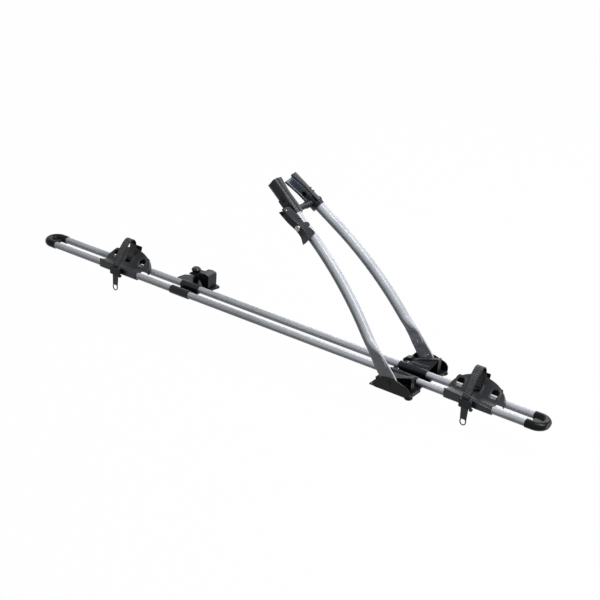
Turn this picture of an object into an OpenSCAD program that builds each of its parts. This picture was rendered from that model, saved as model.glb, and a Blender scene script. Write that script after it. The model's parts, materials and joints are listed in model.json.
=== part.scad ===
// Roof mounted bike carrier: two rails, a folding pair of curved arms with a clamping head,
// a front bracket on the load bar, a rear clamp and two sliding wheel trays with straps.
// +X runs along the rails towards the front of the vehicle, -Y is the side of the lever,
// +Z is up and the origin is on the load bar, under the middle of the rubber pad.

/* [Rails] */
// Outer diameter of a rail tube
rail_d = 17.5; // [16:0.5:19]
// Wall of a rail tube
rail_wall = 1.6; // [1:0.1:2.5]
// Distance between the two rail axes
rail_pitch = 44; // [42:1:48]
// Height of the rail axes over the underside of the bracket
rail_rise = 13.5; // [13:0.5:15]
// Distance from the load bar to the front tip of the rails
front_reach = 357; // [330:1:400]
// Distance from the load bar to the rear tip of the rails
rear_reach = 1133; // [1050:1:1250]

/* [End caps] */
// Outer diameter of the bent tube of an end cap
cap_d = 20.8; // [20.4:0.1:23]
// Straight socket length of an end cap
cap_leg = 16; // [12:0.5:30]
// Depth of the flat cut across the tip of the bend
cap_flat = 3.8; // [1:0.2:5]
// Thickness of the web inside the bend
cap_web_t = 5; // [3:0.5:8]
// Reach of the web from the bend towards the rails
cap_web_l = 9; // [5:0.5:12]

/* [Bracket] */
// Length of the bracket along the rails
bracket_l = 108; // [100:1:120]
// Outer width of the bracket across the side plates
bracket_w = 174; // [170:1:182]
// Thickness of the side plates
plate_t = 2.5; // [2:0.1:3]
// Thickness of the bracket base
base_t = 3; // [2:0.2:4]
// Height of the side plates over the underside
plate_h = 33.5; // [30:0.5:38]
// Height of the front lip over the underside
lip_h = 7; // [5:0.5:9]
// Depth of the cut in the front edge of the base
base_notch = 7; // [5:0.5:9]
// Half width of the gap in the front lip
lip_gap = 38; // [32:1:40]
// Rounding of the side plate outline
plate_round = 8; // [2:1:12]
// Distance between the two load bar bolt holes
bar_bolt_pitch = 40; // [36:1:46]
// Diameter of the load bar bolt holes
bar_bolt_hole_d = 8.6; // [6:0.2:10]

/* [Pad and feet] */
// Thickness of the rubber bar pads
pad_t = 2; // [1.5:0.1:3]
// Length of the front bar pad along the rails
pad_l = 56; // [50:1:64]
// Width of the front bar pad
pad_w = 150; // [130:1:156]
// Diameter of the rubber feet at the front corners
foot_d = 20; // [14:1:22]
// Height of the rubber feet
foot_h = 3.4; // [3:0.2:5]
// Distance of the feet behind the front edge of the bracket
foot_back = 6.5; // [5:0.5:10]
// Distance of the feet inside the bracket faces
foot_in = 7; // [4:0.5:10]

/* [Cheeks] */
// Outer diameter of the rail sleeve of a cheek
sleeve_d = 22; // [21.5:0.5:23]
// Distance of the sleeve's front end from the bar
sleeve_front = 36; // [30:1:44]
// Distance of the sleeve's rear end from the bar
sleeve_rear = 38.5; // [36:0.5:50]
// Distance of the web of a cheek inside the outer face of the bracket
web_in = 27; // [26:0.5:28]
// Thickness of the web of a cheek
web_t = 3; // [2:0.5:4]
// Width of the flanges of a cheek
flange_w = 14; // [11:1:14]
// Thickness of the flanges of a cheek
flange_t = 2.6; // [2:0.2:3.5]
// Height of the cheek over the underside of the bracket
cheek_h = 43; // [40:1:46]
// Length of the cheek
cheek_l = 94; // [88:1:98]
// Thickness of the cheek floor
floor_t = 3; // [2:0.5:4]

/* [Pivot] */
// Distance of the arm pivot behind the middle of the bar
pivot_back = 4; // [0:1:8]
// Height of the arm pivot over the underside of the bracket
pivot_rise = 21; // [20:0.5:22]
// Diameter of the pivot bolts
pivot_d = 6; // [5:0.5:7]
// Running clearance round the near pivot bolt
pivot_fit = 0.05; // [0.02:0.01:0.08]
// Clearance round the far pivot bolt, where the arm also tilts
tilt_fit = 0.3; // [0.25:0.05:0.5]
// Diameter of the pivot bolt heads
bolt_head_d = 10; // [9:0.5:14]
// Height of the pivot bolt heads
bolt_head_h = 2.4; // [1.5:0.1:3]
// Across flats of the pivot nuts
nut_af = 10; // [9:0.5:13]
// Height of the pivot nuts
nut_h = 5; // [4:0.1:6.2]

/* [Arms] */
// Outer diameter of an arm tube
arm_d = 25; // [22:0.5:26]
// Wall of an arm tube
arm_wall = 2; // [1.5:0.1:2.5]
// Distance of the arm axes inside the outer faces of the bracket
arm_in = 4.8; // [3:0.1:7]
// Distance of the tube axis behind the bar at the foot of the arm
arm_foot_x = 8.5; // [6:0.1:12]
// Height of the tube axis over the underside at the foot of the arm
arm_foot_rise = 26.9; // [25:0.1:29]
// Angle of the straight lower arm over the rails
arm_tilt = 51.5; // [48:0.1:54]
// Angle of the straight upper arm over the rails
head_tilt = 35.6; // [32:0.1:40]
// Angle by which the arm leans towards the middle plane
arm_lean = 5.9; // [5.6:0.1:6.2]
// Length of the upright arm below the point where it starts to lean
arm_straight = 60; // [55:1:66]
// Distance along the arm at which its long bend starts
bend_from = 130; // [120:1:150]
// Radius of the long bend of the arm
arm_bend_r = 862; // [800:1:920]
// Length of the tube from the foot to its upper end
arm_len = 456; // [450:1:462]
// Thickness of the flattened foot of the arm
flat_t = 4.5; // [4:0.1:6]
// Gap between the flattened foot and the side plate
flat_gap = 0.8; // [0.7:0.1:1.2]
// Radius of the rounded foot of the arm
flat_r = 17.2; // [14:0.2:17.4]
// Reach of the flattened foot to the front of the tube axis
flat_front = 20.8; // [19:0.2:22]
// Length of the flattened foot above the foot point
flat_len = 55; // [48:1:58]
// Diameter of the hole on the inner face of the arm
lug_hole_d = 5; // [3:0.5:7]
// Distance of that hole along the arm
lug_hole_s = 37.5; // [34:0.5:42]

/* [Head] */
// Outer radius of a jaw shell
jaw_r = 16; // [15.5:0.1:17]
// Distance of the middle of a jaw shell inside the arm axis
jaw_in = 2.7; // [2:0.1:3]
// Distance of the jaw edges inside the arm axis
jaw_edge = 9.6; // [8:0.2:11]
// Distance by which the jaw edges reach further inside at the upper end
jaw_flare = 6.4; // [4:0.2:7]
// Distance of the solid back of a jaw's lower end inside the arm axis
jaw_back = 14; // [13.6:0.1:15]
// Length of the arm inside the solid lower end of a jaw
jaw_grip = 26; // [24:0.5:27]
// Length of a jaw
jaw_l = 96.5; // [90:0.5:104]
// Distance by which the near jaw sits higher than the far one
near_rise = 4.5; // [3:0.5:5]
// Wall of a jaw shell
jaw_wall = 4; // [3:0.5:5]
// Thickness of a jaw pad
jaw_pad_t = 2.5; // [2:0.5:4]
// Height of the solid lower end of a jaw
collar_h = 28; // [27.5:0.5:30]
// Outer diameter of the collar round the arm
collar_d = 34; // [32:0.5:35]
// Height of the collar round the arm
collar_low = 11; // [9:0.5:12]
// Width of the block at the lower end of the near jaw
block_w = 27.6; // [26:0.2:29]
// Distance of that block's outer face from the arm axis
block_out = 11; // [10:0.2:12]
// Height of that block over the lower end of the near jaw
block_h = 51; // [48:1:54]
// Height of the cross bolt over the lower end of the far jaw
bolt_rise = 16; // [15:0.5:17]
// Diameter of the cross bolt
cross_d = 6; // [5:0.5:6.5]
// Clearance round the cross bolt in the near jaw
cross_slack = 2.5; // [2.2:0.1:2.8]
// Diameter of the thin part of the sleeve round the cross bolt
bush_d = 14.8; // [14:0.2:16]
// Diameter of the thick part of the sleeve round the cross bolt
bush_big_d = 17.6; // [17:0.2:20]
// Diameter of the adjuster knob
knob_d = 15; // [13:0.5:20]
// Width of the adjuster knob
knob_w = 4; // [3.5:0.5:6]
// Number of flutes round the adjuster knob
knob_flutes = 16; // [8:1:20]
// Diameter of the locating hole in the jaw pads
pad_hole_d = 8; // [6:0.5:10]
// Distance of that hole over the lower end of the far jaw
pad_hole_rise = 46; // [44:0.5:50]

/* [Lever] */
// Distance of the lever's upper end over the lower end of the far jaw
lever_rise = 25; // [24.5:0.5:27]
// Length of the lever
lever_l = 94; // [90:1:98]
// Greatest width of the lever
lever_w = 30.4; // [29.6:0.2:31.4]
// Distance of the lever's outer face from the arm axis at its upper end
lever_out = 40; // [39:0.2:41]
// Wall of the lever
lever_wall = 2.4; // [2:0.1:2.8]
// Clearance between the lever and the arm
lever_gap = 0.9; // [0.7:0.1:1.2]
// Diameter of the lever's hinge pin
lever_pin_d = 4; // [3.5:0.1:4.4]
// Radius of the lug's eye round the hinge pin
knuckle_r = 3.4; // [3.2:0.1:3.6]
// Width of the lug that carries the hinge pin
tongue_w = 8; // [7:0.2:9]
// Running clearance of pins and screws that turn
pin_fit = 0.05; // [0.02:0.01:0.08]
// Diameter of the lock cylinder
lock_d = 12.2; // [10:0.2:13]
// Length of the lock cylinder
lock_l = 12; // [8:0.5:13]
// Distance of the lock along the arm from the lever's upper end
lock_down = 54; // [50:0.5:58]

/* [Rear clamp] */
// Distance of the rear clamp's sleeves in front of the rear tray's middle
clamp_gap = 200; // [190:1:240]
// Length of the rear sleeves
rear_sleeve_l = 56; // [50:1:66]
// Outer diameter of the rear sleeves
rear_sleeve_d = 21.8; // [21:0.2:23]
// Length of the rear base plate
rear_plate_l = 116; // [108:1:130]
// Width of the rear base plate
rear_plate_w = 48; // [44:1:56]
// Distance of the rear base plate from the middle plane
rear_plate_y = 45; // [42:1:50]
// Height of the claw over the underside
claw_h = 44; // [42:1:50]
// Width of the claw
claw_w = 34; // [30:1:40]
// Wall of the claw
claw_wall = 3; // [2:0.5:4]
// Diameter of the mushroom knob
rear_knob_d = 24; // [22:1:30]
// Height of the mushroom knob
rear_knob_h = 10; // [8:0.5:12]
// Diameter of the screw of the mushroom knob
rear_screw_d = 8; // [6:0.5:10]

/* [Wheel trays] */
// Distance of the front tray's middle from the front tip of the rails
tray_front_in = 187; // [150:1:200]
// Distance of the rear tray's middle from the rear tip of the rails
tray_rear_in = 271; // [180:1:300]
// Length of the tray's sleeve on the near rail
tray_l = 120; // [110:1:130]
// Outer diameter of the tray's sleeve
tray_sleeve_d = 23.5; // [22.5:0.5:24]
// Sliding clearance of the trays and clamps on the rails
slide_fit = 0.3; // [0.2:0.05:0.4]
// Wall of the tray
tray_wall = 3; // [2.4:0.2:3.6]
// Half length of the wing of the tray
wing_a = 74; // [68:1:80]
// Shortening of the rear half of the wing
wing_trim = 9; // [6:0.5:12]
// Height of the wing up its slope
wing_b = 49; // [46:1:54]
// Slope of the wing
wing_slope = 42; // [38:1:46]
// Height of the wing's root over the underside
wing_rise = 20; // [18:1:22]
// Depth of the wing's rim
rim_depth = 10; // [6:1:12]
// Distance between the holes in the wing
wing_hole_pitch = 44; // [42:1:46]
// Width of a hole in the wing
wing_hole_w = 26; // [24:1:28]
// Height of a hole in the wing
wing_hole_h = 27; // [25:1:28]

/* [Straps] */
// Width of a wheel strap
strap_w = 21; // [18:0.5:22]
// Thickness of a wheel strap
strap_t = 2.2; // [1.8:0.2:2.6]
// Pitch of the teeth on a wheel strap
tooth_pitch = 5; // [4:0.5:7]
// Height of the teeth on a wheel strap
tooth_h = 1; // [0.6:0.1:1.4]
// Width of a buckle
buckle_w = 27; // [25:0.5:30]
// Depth of a buckle
buckle_t = 13; // [11:0.5:14]
// Height of a buckle
buckle_h = 21; // [18:0.5:24]
// Thickness of the release lever of a buckle
release_t = 4; // [3:0.5:5]
// Diameter of the pin of the release lever
release_pin_d = 3; // [2.5:0.5:4]

/* [Hidden] */
$fn = 48;
// Overrun of every cut past the face that it leaves
cut = 1;
// Clearance between pieces that are fitted and stay put
seat = 0.1;
// Clearance between neighbours that move past each other
clear = 0.3;
rail_y = rail_pitch / 2;
rail_z = pad_t + rail_rise;
rail_r = rail_d / 2;
under_z = pad_t;
base_z = pad_t + base_t;
plate_y = bracket_w / 2 - plate_t;
arm_y = bracket_w / 2 - arm_in;
web_y = bracket_w / 2 - web_in;
half_l = bracket_l / 2;
pivot = [-pivot_back, 0, under_z + pivot_rise];
tray_front_x = front_reach - tray_front_in;
tray_rear_x = rear_reach - tray_rear_in;
rear_x = tray_rear_x - clamp_gap;
jaw_s = arm_len - jaw_grip;
// Centre of the flattened feet, measured from the middle plane
flat_y = plate_y - flat_gap - flat_t / 2;
// Outline of a side plate in shares of the half length and the height
plate_shares = [[-1, 0], [-0.61, 0.75], [-0.41, 0.93], [-0.15, 1], [0.3, 0.985],
    [0.59, 0.866], [0.85, 0.746], [0.985, 0.5], [1, 0]];
// Upper and lower flange lines of a cheek in shares of its length and height
upper_shares = [[-0.5, 0.19], [-0.28, 0.4], [-0.11, 0.58], [0.27, 0.86], [0.47, 1]];
lower_shares = [[-0.48, 0.15], [-0.02, 0.35], [0.32, 0.453], [0.47, 0.465]];
nub_shares = [[-0.54, 0.3], [-0.44, 0.49], [-0.3, 0.52], [-0.26, 0.36], [-0.5, 0.14]];

// Shapes in the plane and lofts
function unit(v) = v / norm(v);
function corner(a, b, c, r, n) =
    let(u = unit(a - b), v = unit(c - b), h = acos(max(-1, min(1, u * v))) / 2,
        d = min(r / tan(h), norm(a - b) * 0.48, norm(c - b) * 0.48), q = d * tan(h),
        m = b + unit(u + v) * q / sin(h))
    [for (i = [0 : n]) m + q * unit((b + u * d - m) * (1 - i / n) + (b + v * d - m) * (i / n))];
function rounded(p, r, n = 4) = [for (i = [0 : len(p) - 1])
    each corner(p[(i + len(p) - 1) % len(p)], p[i], p[(i + 1) % len(p)], r, n)];
function scaled(p, a, b) = [for (q = p) [q[0] * a, q[1] * b]];
function shifted(p, x, y) = [for (q = p) [q[0] + x, q[1] + y]];
function turned_back(p) = [for (i = [len(p) - 1 : -1 : 0]) p[i]];
function normal_at(p, i) =
    let(v = unit(p[min(i + 1, len(p) - 1)] - p[max(i - 1, 0)])) [-v[1], v[0]];
function ribbon(p, a, b) = concat([for (i = [0 : len(p) - 1]) p[i] + normal_at(p, i) * a],
    turned_back([for (i = [0 : len(p) - 1]) p[i] + normal_at(p, i) * b]));
function spline(p, n) = [for (i = [0 : len(p) - 2], k = [0 : n - 1])
    let(t = k / n, a = p[max(i - 1, 0)], b = p[i], c = p[i + 1], d = p[min(i + 2, len(p) - 1)])
    0.5 * (2 * b + (c - a) * t + (2 * a - 5 * b + 4 * c - d) * t ^ 2
        + (3 * b - a - 3 * c + d) * t ^ 3)];
function lengths(p, i = 1, s = [0]) = i >= len(p) ? s
    : lengths(p, i + 1, concat(s, [s[i - 1] + norm(p[i] - p[i - 1])]));
function bulge(a, b, e, n) = [for (i = [0 : n - 1]) let(t = 360 * i / n)
    [a * sign(cos(t)) * abs(cos(t)) ^ (2 / e), b * sign(sin(t)) * abs(sin(t)) ^ (2 / e)]];
function volume(p, f) = [for (q = f, k = [1 : len(q) - 2]) cross(p[q[0]], p[q[k]]) * p[q[k + 1]]]
    * [for (q = f, k = [1 : len(q) - 2]) 1];

// A closed skin over rings that have the same number of points
module skin(rings) {
    n = len(rings[0]);
    m = len(rings);
    p = [for (r = rings) each r];
    f = concat([for (j = [0 : m - 2], i = [0 : n - 1]) let(k = (i + 1) % n)
            each [[j * n + i, j * n + k, (j + 1) * n + k],
                [j * n + i, (j + 1) * n + k, (j + 1) * n + i]]],
        [[for (i = [n - 1 : -1 : 0]) i], [for (i = [0 : n - 1]) (m - 1) * n + i]]);
    g = volume(p, f) > 0 ? [for (q = f) turned_back(q)] : f;
    polyhedron(points = p, faces = g, convexity = 8);
}

// A profile in X and Z, spread between two values of Y
module across(y0, y1) {
    translate([0, y1, 0]) rotate([90, 0, 0]) linear_extrude(y1 - y0) children();
}

// A profile in Y and Z, spread between two values of X
module along(x0, x1) {
    translate([x0, 0, 0]) rotate([90, 0, 90]) linear_extrude(x1 - x0) children();
}

module rod(x0, x1, d) {
    translate([x0, 0, 0]) rotate([0, 90, 0]) cylinder(h = x1 - x0, d = d);
}

module cross_rod(y0, y1, d) {
    translate([0, y0, 0]) rotate([-90, 0, 0]) cylinder(h = y1 - y0, d = d);
}

// The far side as drawn, the near side as its mirror image
module on_side(s) {
    if (s > 0) children();
    else mirror([0, 1, 0]) children();
}

// Rails and end caps
cap_r = cap_d / 2;
cap_back = rail_y + cap_r - cap_flat;

module rail(s) {
    color("silver") translate([0, s * rail_y, rail_z]) difference() {
        rod(-rear_reach + cap_back + seat, front_reach - cap_back - seat, rail_d);
        rod(-rear_reach, front_reach, rail_d - 2 * rail_wall);
    }
}

module end_cap() {
    color("#26282c") translate([-cap_back, 0, rail_z]) difference() {
        union() {
            intersection() {
                rotate([0, 0, -90]) rotate_extrude(angle = 180) translate([rail_y, 0]) circle(cap_r);
                translate([-cut, -cap_d * 2, -cap_d])
                    cube([cap_back + cut, cap_d * 4, cap_d * 2]);
            }
            for (s = [-1, 1]) translate([0, s * rail_y, 0]) rod(-cap_leg, 0, cap_d);
            translate([-cap_web_l, -rail_y, -cap_web_t / 2]) cube([cap_web_l + rail_y / 2,
                rail_pitch, cap_web_t]);
        }
        for (s = [-1, 1]) translate([0, s * rail_y, 0]) {
            rod(-cap_leg - cut, 0, rail_d + 2 * seat);
        }
    }
}

// Bracket
module plate_outline() {
    polygon(shifted(rounded(scaled(plate_shares, half_l, plate_h), plate_round), 0, under_z));
}

module bracket() {
    color("#1b1b1d") difference() {
        union() {
            for (s = [-1, 1]) on_side(s) {
                across(plate_y, plate_y + plate_t) plate_outline();
                translate([half_l - plate_t, lip_gap, under_z])
                    cube([plate_t, plate_y - lip_gap + cut, lip_h]);
            }
            translate([-half_l, -plate_y - cut, under_z])
                cube([bracket_l, 2 * plate_y + 2 * cut, base_t]);
        }
        translate([half_l - base_notch, -lip_gap, under_z - cut])
            cube([base_notch + cut, 2 * lip_gap, lip_h + 2 * cut]);
        for (s = [-1, 1]) {
            translate(pivot) on_side(s) cross_rod(plate_y - cut, plate_y + plate_t + cut,
                pivot_d + 2 * pivot_fit);
            translate([s * bar_bolt_pitch / 2, 0, 0])
                cylinder(h = base_z + cut, d = bar_bolt_hole_d);
            for (x = screw_x) translate([x, s * screw_y, 0])
                cylinder(h = base_z + cut, d = screw_d + 2 * seat);
        }
    }
}

module bar_pad() {
    color("#303030") difference() {
        linear_extrude(pad_t) polygon(rounded([[-pad_l / 2, -pad_w / 2], [pad_l / 2, -pad_w / 2],
            [pad_l / 2, pad_w / 2], [-pad_l / 2, pad_w / 2]], pad_t * 3));
        for (s = [-1, 1]) translate([s * bar_bolt_pitch / 2, 0, -cut])
            cylinder(h = pad_t + 2 * cut, d = bar_bolt_hole_d);
    }
}

module bracket_feet() {
    color("#202022") for (s = [-1, 1])
        translate([half_l - foot_back, s * (bracket_w / 2 - foot_in), under_z - foot_h]) {
            cylinder(h = foot_h - foot_h / 4, d1 = foot_d * 0.8, d2 = foot_d);
            translate([0, 0, foot_h - foot_h / 4]) cylinder(h = foot_h / 4, d = foot_d);
        }
}

// Cheeks
screw_d = 5;
screw_y = web_y - flange_w / 2 - screw_d * 0.9;
screw_x = [-cheek_l * 0.22, cheek_l * 0.3];
cheek_out = web_y + flange_w / 2;
cheek_z = under_z + cheek_h;

function flange_line(shares) = shifted(scaled(shares, cheek_l, cheek_h), 0, under_z);
function hung(line, t) = concat(line, [for (q = turned_back(line)) [q[0], q[1] - t]]);

// Point of a line at a share of its number of spans
function on_line(line, t) = let(n = len(line) - 1, k = min(n - 1, floor(t * n)), e = t * n - k)
    line[k] * (1 - e) + line[k + 1] * e;

// Ruled surface from the crown of the sleeve to the inner edge of the upper flange
module cheek_fan() {
    line = flange_line(upper_shares);
    n = 12;
    down = [0, 0, flange_t * 0.5];
    skin([for (k = [0 : n]) let(e = k / n, q = on_line(line, e),
        a = [(sleeve_front * e - sleeve_rear * (1 - e)) * 0.97, rail_y + sleeve_d * 0.3,
            rail_z + sleeve_d * 0.36],
        b = [q[0] * 0.99, web_y - flange_w * 0.25, q[1] - flange_t * 0.35])
        [a, b, b - down, a - down]]);
}

module cheek() {
    upper = flange_line(upper_shares);
    lower = flange_line(lower_shares);
    front = upper[len(upper) - 1][0];
    difference() {
        union() {
            translate([0, rail_y, rail_z]) rod(-sleeve_rear, sleeve_front, sleeve_d);
            translate([-sleeve_rear, rail_y - sleeve_d / 3, base_z])
                cube([sleeve_rear + sleeve_front, sleeve_d * 0.8, rail_rise - base_t]);
            translate([-cheek_l / 2 + flange_t, rail_y, base_z])
                cube([cheek_l * 0.97 - flange_t, cheek_out - rail_y, floor_t]);
            across(web_y - web_t / 2, web_y + web_t / 2) polygon(concat(upper,
                [[front, base_z], [upper[0][0], base_z]]));
            across(web_y - flange_w / 2, cheek_out) polygon(hung(upper, flange_t));
            across(web_y - flange_w / 2, cheek_out) polygon(hung(lower, flange_t));
            translate([front - flange_t, web_y - flange_w / 2, base_z])
                cube([flange_t, flange_w, upper[len(upper) - 1][1] - base_z]);
            across(web_y - flange_w / 2, cheek_out)
                polygon(rounded(flange_line(nub_shares), flange_t));
            cheek_fan();
        }
        translate([0, rail_y, rail_z]) rod(-cheek_l, cheek_l, rail_d + 2 * seat);
        translate([-cheek_l, 0, -cheek_h]) cube([2 * cheek_l, bracket_w, cheek_h + base_z]);
        for (x = screw_x) translate([x, screw_y, 0])
            cylinder(h = base_z + floor_t + cut, d = screw_d + 2 * seat);
    }
}

module cheek_on(s) {
    color("#222326") on_side(s) cheek();
}

module cheek_screws() {
    color("gray") for (s = [-1, 1], x = screw_x) translate([x, s * screw_y, under_z]) {
        cylinder(h = base_t + floor_t, d = screw_d);
        translate([0, 0, base_t + floor_t]) cylinder(h = screw_d / 2, d = screw_d * 1.6);
    }
}

// Pivot bolts
nut_y = flat_y - flat_t / 2 - clear;

module pivot_bolts() {
    color("#303236") for (s = [-1, 1]) translate(pivot) on_side(s) {
        cross_rod(nut_y - nut_h, bracket_w / 2, pivot_d);
        cross_rod(bracket_w / 2, bracket_w / 2 + bolt_head_h, bolt_head_d);
    }
}

module pivot_nuts() {
    color("gray") for (s = [-1, 1]) translate(pivot) on_side(s) difference() {
        translate([0, nut_y - nut_h, 0]) rotate([-90, 0, 0])
            cylinder(h = nut_h, d = nut_af / cos(30), $fn = 6);
        cross_rod(nut_y - nut_h - cut, nut_y + cut, pivot_d);
    }
}

// Arms
turn = arm_tilt - head_tilt;
bend_len = arm_bend_r * turn * PI / 180;
foot = [-arm_foot_x, arm_y, under_z + arm_foot_rise];
kink = foot + arm_straight * [-cos(arm_tilt), 0, sin(arm_tilt)];
lean_at = (arm_tilt + head_tilt) / 2;
lean_axis = [sin(lean_at), 0, cos(lean_at)];

// Angle of the tube axis over the rails at a distance along the arm
function slope(s) = s <= bend_from ? arm_tilt
    : max(head_tilt, arm_tilt - (s - bend_from) / arm_bend_r * 180 / PI);
// Place of the tube axis in its own plane, measured from the point where it starts to lean
function in_plane(s) = let(h = slope(s), q = min(s, bend_from) - arm_straight,
        e = max(0, s - bend_from - bend_len))
    [arm_bend_r * (sin(h) - sin(arm_tilt)) - e * cos(h) - q * cos(arm_tilt), 0,
        arm_bend_r * (cos(h) - cos(arm_tilt)) + e * sin(h) + q * sin(arm_tilt)];
function leaned(v) = v * cos(arm_lean) + cross(lean_axis, v) * sin(arm_lean)
    + lean_axis * (lean_axis * v) * (1 - cos(arm_lean));
function arm_pt(s) = kink + leaned(in_plane(s));
cross_pt = arm_pt(jaw_s + bolt_rise);

// Children stand on the tube axis: Z up the arm, X to the front, Y outwards
module at_arm(s) {
    translate(kink) rotate(a = arm_lean, v = lean_axis) translate(in_plane(s))
        rotate([0, slope(s) - 90, 0]) children();
}

module tube_path(s1) {
    at_arm(arm_straight) linear_extrude(bend_from - arm_straight + cut) tube_section(seat / 2);
    translate(kink) rotate(a = arm_lean, v = lean_axis) translate(in_plane(bend_from))
        translate([-arm_bend_r * sin(arm_tilt), 0, -arm_bend_r * cos(arm_tilt)])
            rotate([90, 0, 0]) rotate([0, 0, 90 - arm_tilt])
                rotate_extrude(angle = turn, $fn = 360) translate([arm_bend_r, 0])
                    tube_section(0);
    at_arm(bend_from + bend_len) translate([0, 0, -cut])
        linear_extrude(s1 - bend_from - bend_len + cut) tube_section(seat / 2);
}

module tube_section(more) {
    difference() {
        circle(d = arm_d + 2 * more, $fn = 48);
        circle(d = arm_d - 2 * arm_wall - 2 * more, $fn = 48);
    }
}

// Children lie in the plane of the foot: X to the front, Z up the straight arm
module at_foot() {
    translate(foot) rotate([0, arm_tilt - 90, 0]) children();
}

pivot_in_foot = let(v = pivot - [foot[0], 0, foot[2]], c = cos(arm_tilt), s = sin(arm_tilt))
    [v[0] * s + v[2] * c, -v[0] * c + v[2] * s];

flat_back = flat_r - pivot_in_foot[0];
module foot_outline(inset) {
    polygon([[-arm_d * 0.55 + inset, flat_len], [-flat_back * 0.95 + inset, flat_len * 0.7],
        [-flat_back + inset, pivot_in_foot[1]],
        [flat_front * 0.82 - inset, pivot_in_foot[1] - flat_r * 0.6],
        [flat_front - inset, pivot_in_foot[1]], [flat_front - inset, arm_d * 0.15],
        [flat_front * 0.89 - inset, flat_len * 0.7], [arm_d * 0.7 - inset, flat_len]]);
    translate(pivot_in_foot) circle(r = flat_r - inset);
}

// Distance along the arm at which the swaged foot has become the round tube
swage_to = bend_from * 0.78;

module arm(s) {
    far = s > 0;
    rings = 7;
    color("silver") on_side(s) difference() {
        union() {
            at_foot() translate([0, flat_y - arm_y + flat_t / 2, 0]) rotate([90, 0, 0])
                linear_extrude(flat_t) foot_outline(0);
            at_arm(arm_straight) skin([for (k = [0 : rings + 1]) let(t = min(1, k / rings),
                e = t * t * (3 - 2 * t), last = k > rings ? arm_wall / 4 : 0,
                z = flat_len - arm_straight - cut + (swage_to - flat_len + cut) * t + 4 * last)
                [for (q = bulge(arm_d / 2 * (1 + 0.25 * (1 - e)) - last,
                    (flat_t + (arm_d - flat_t) * e) / 2 - last, 2 + 6 * (1 - e), 32))
                    [q[0] + arm_d * 0.07 * (1 - e), q[1] + (flat_y - arm_y) * (1 - e), z]]]);
            tube_path(arm_len);
        }
        translate([pivot[0], 0, pivot[2]]) cross_rod(0, bracket_w,
            pivot_d + 2 * (far ? tilt_fit : pivot_fit));
        translate([cross_pt[0], 0, cross_pt[2]]) {
            cross_rod(cross_pt[1] - arm_d, cross_pt[1], cross_d + 2 * cross_slack);
            cross_rod(cross_pt[1], cross_pt[1] + arm_d, far ? cross_d + 2 * seat : head_pocket_d);
        }
        at_foot() translate([0, -arm_d, lug_hole_s]) rotate([-90, 0, 0])
            cylinder(h = arm_d, d = lug_hole_d);
    }
}

// Head
head_d = cross_d * 2;
head_pocket_d = head_d + 2 * cross_slack;
bush_len = 2 * (cross_pt[1] - jaw_back / cos(arm_lean) - bush_big_d / 2 * tan(arm_lean) - clear);
rib_step = jaw_l * 0.1;

// Section of a jaw: a round back with straight sides towards the middle plane
module jaw_section(r) {
    translate([0, -jaw_in]) circle(r);
    translate([-r, -jaw_in - 2 * jaw_r]) square([2 * r, 2 * jaw_r]);
}

// Side view of a jaw in Y and Z: its edges reach further inside at the upper end
module jaw_side() {
    polygon([[-jaw_edge, 0], [-jaw_edge, jaw_l * 0.58], [-jaw_edge - jaw_flare * 0.5, jaw_l * 0.82],
        [-jaw_edge - jaw_flare, jaw_l], [jaw_r - jaw_in - jaw_wall * 0.8, jaw_l],
        [jaw_r - jaw_in, jaw_l - jaw_wall * 0.8], [jaw_r - jaw_in, 0]]);
}

module jaw(s) {
    far = s > 0;
    low = far ? 0 : near_rise;
    color("#25272b") on_side(s) difference() {
        at_arm(jaw_s) difference() {
            union() {
                difference() {
                    translate([0, 0, low]) intersection() {
                        linear_extrude(jaw_l) jaw_section(jaw_r);
                        along(-jaw_r, jaw_r) jaw_side();
                    }
                    if (!far) translate([-jaw_r, block_out, collar_h + clear])
                        cube([2 * jaw_r, jaw_r, near_rise + block_h - collar_h - clear]);
                }
                translate([0, 0, low]) cylinder(h = collar_h - low, r = jaw_back);
                intersection() {
                    translate([0, 0, low]) cylinder(h = collar_low, d = collar_d);
                    translate([-collar_d, -collar_d, -cut])
                        cube([2 * collar_d, collar_d, jaw_l]);
                }
                if (far) for (k = [1, 2]) translate([0, 0, collar_h + rib_step * (k - 0.33)])
                    rib_ring();
                else {
                    translate([0, 0, near_rise]) linear_extrude(block_h)
                        polygon(rounded([[-block_w / 2, -jaw_edge], [block_w / 2, -jaw_edge],
                            [block_w / 2, block_out], [-block_w / 2, block_out]], jaw_wall * 0.5));
                    tongue();
                }
            }
            translate([0, 0, -cut])
                cylinder(h = arm_len - jaw_s + cut + seat, d = arm_d + 2 * seat);
            translate([0, 0, collar_h]) linear_extrude(jaw_l) jaw_section(jaw_r - jaw_wall);
            if (!far) translate([block_w * 0.06, 0, pad_hole_rise]) rotate([-90, 0, 0])
                cylinder(h = 2 * jaw_r, d = pad_hole_d);
        }
        if (!far) hinge_rod(lever_w, lever_pin_d + 2 * pin_fit);
        at_cross() {
            cross_rod(0, bush_len / 2 + clear, bush_big_d + 2 * cross_slack + 2 * clear);
            cross_rod(cross_pt[1] - 2 * arm_d, cross_pt[1], cross_d + 2 * cross_slack);
            cross_rod(cross_pt[1], cross_pt[1] + (far ? 2 * arm_d : jaw_back + cut + clear),
                far ? cross_d + 2 * seat : head_pocket_d);
        }
    }
}

// Lug of the near jaw that carries the lever's pin
module tongue() {
    z = hinge_s - jaw_s;
    k = knuckle_r * sqrt(0.5);
    along(-tongue_w / 2, tongue_w / 2) {
        polygon([[jaw_r * 0.62, collar_h * 0.93], [jaw_r * 0.62, collar_h * 1.28],
            [hinge_out + k, z + k], [hinge_out - k, z - k]]);
        translate([hinge_out, z]) circle(knuckle_r);
    }
}

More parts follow.
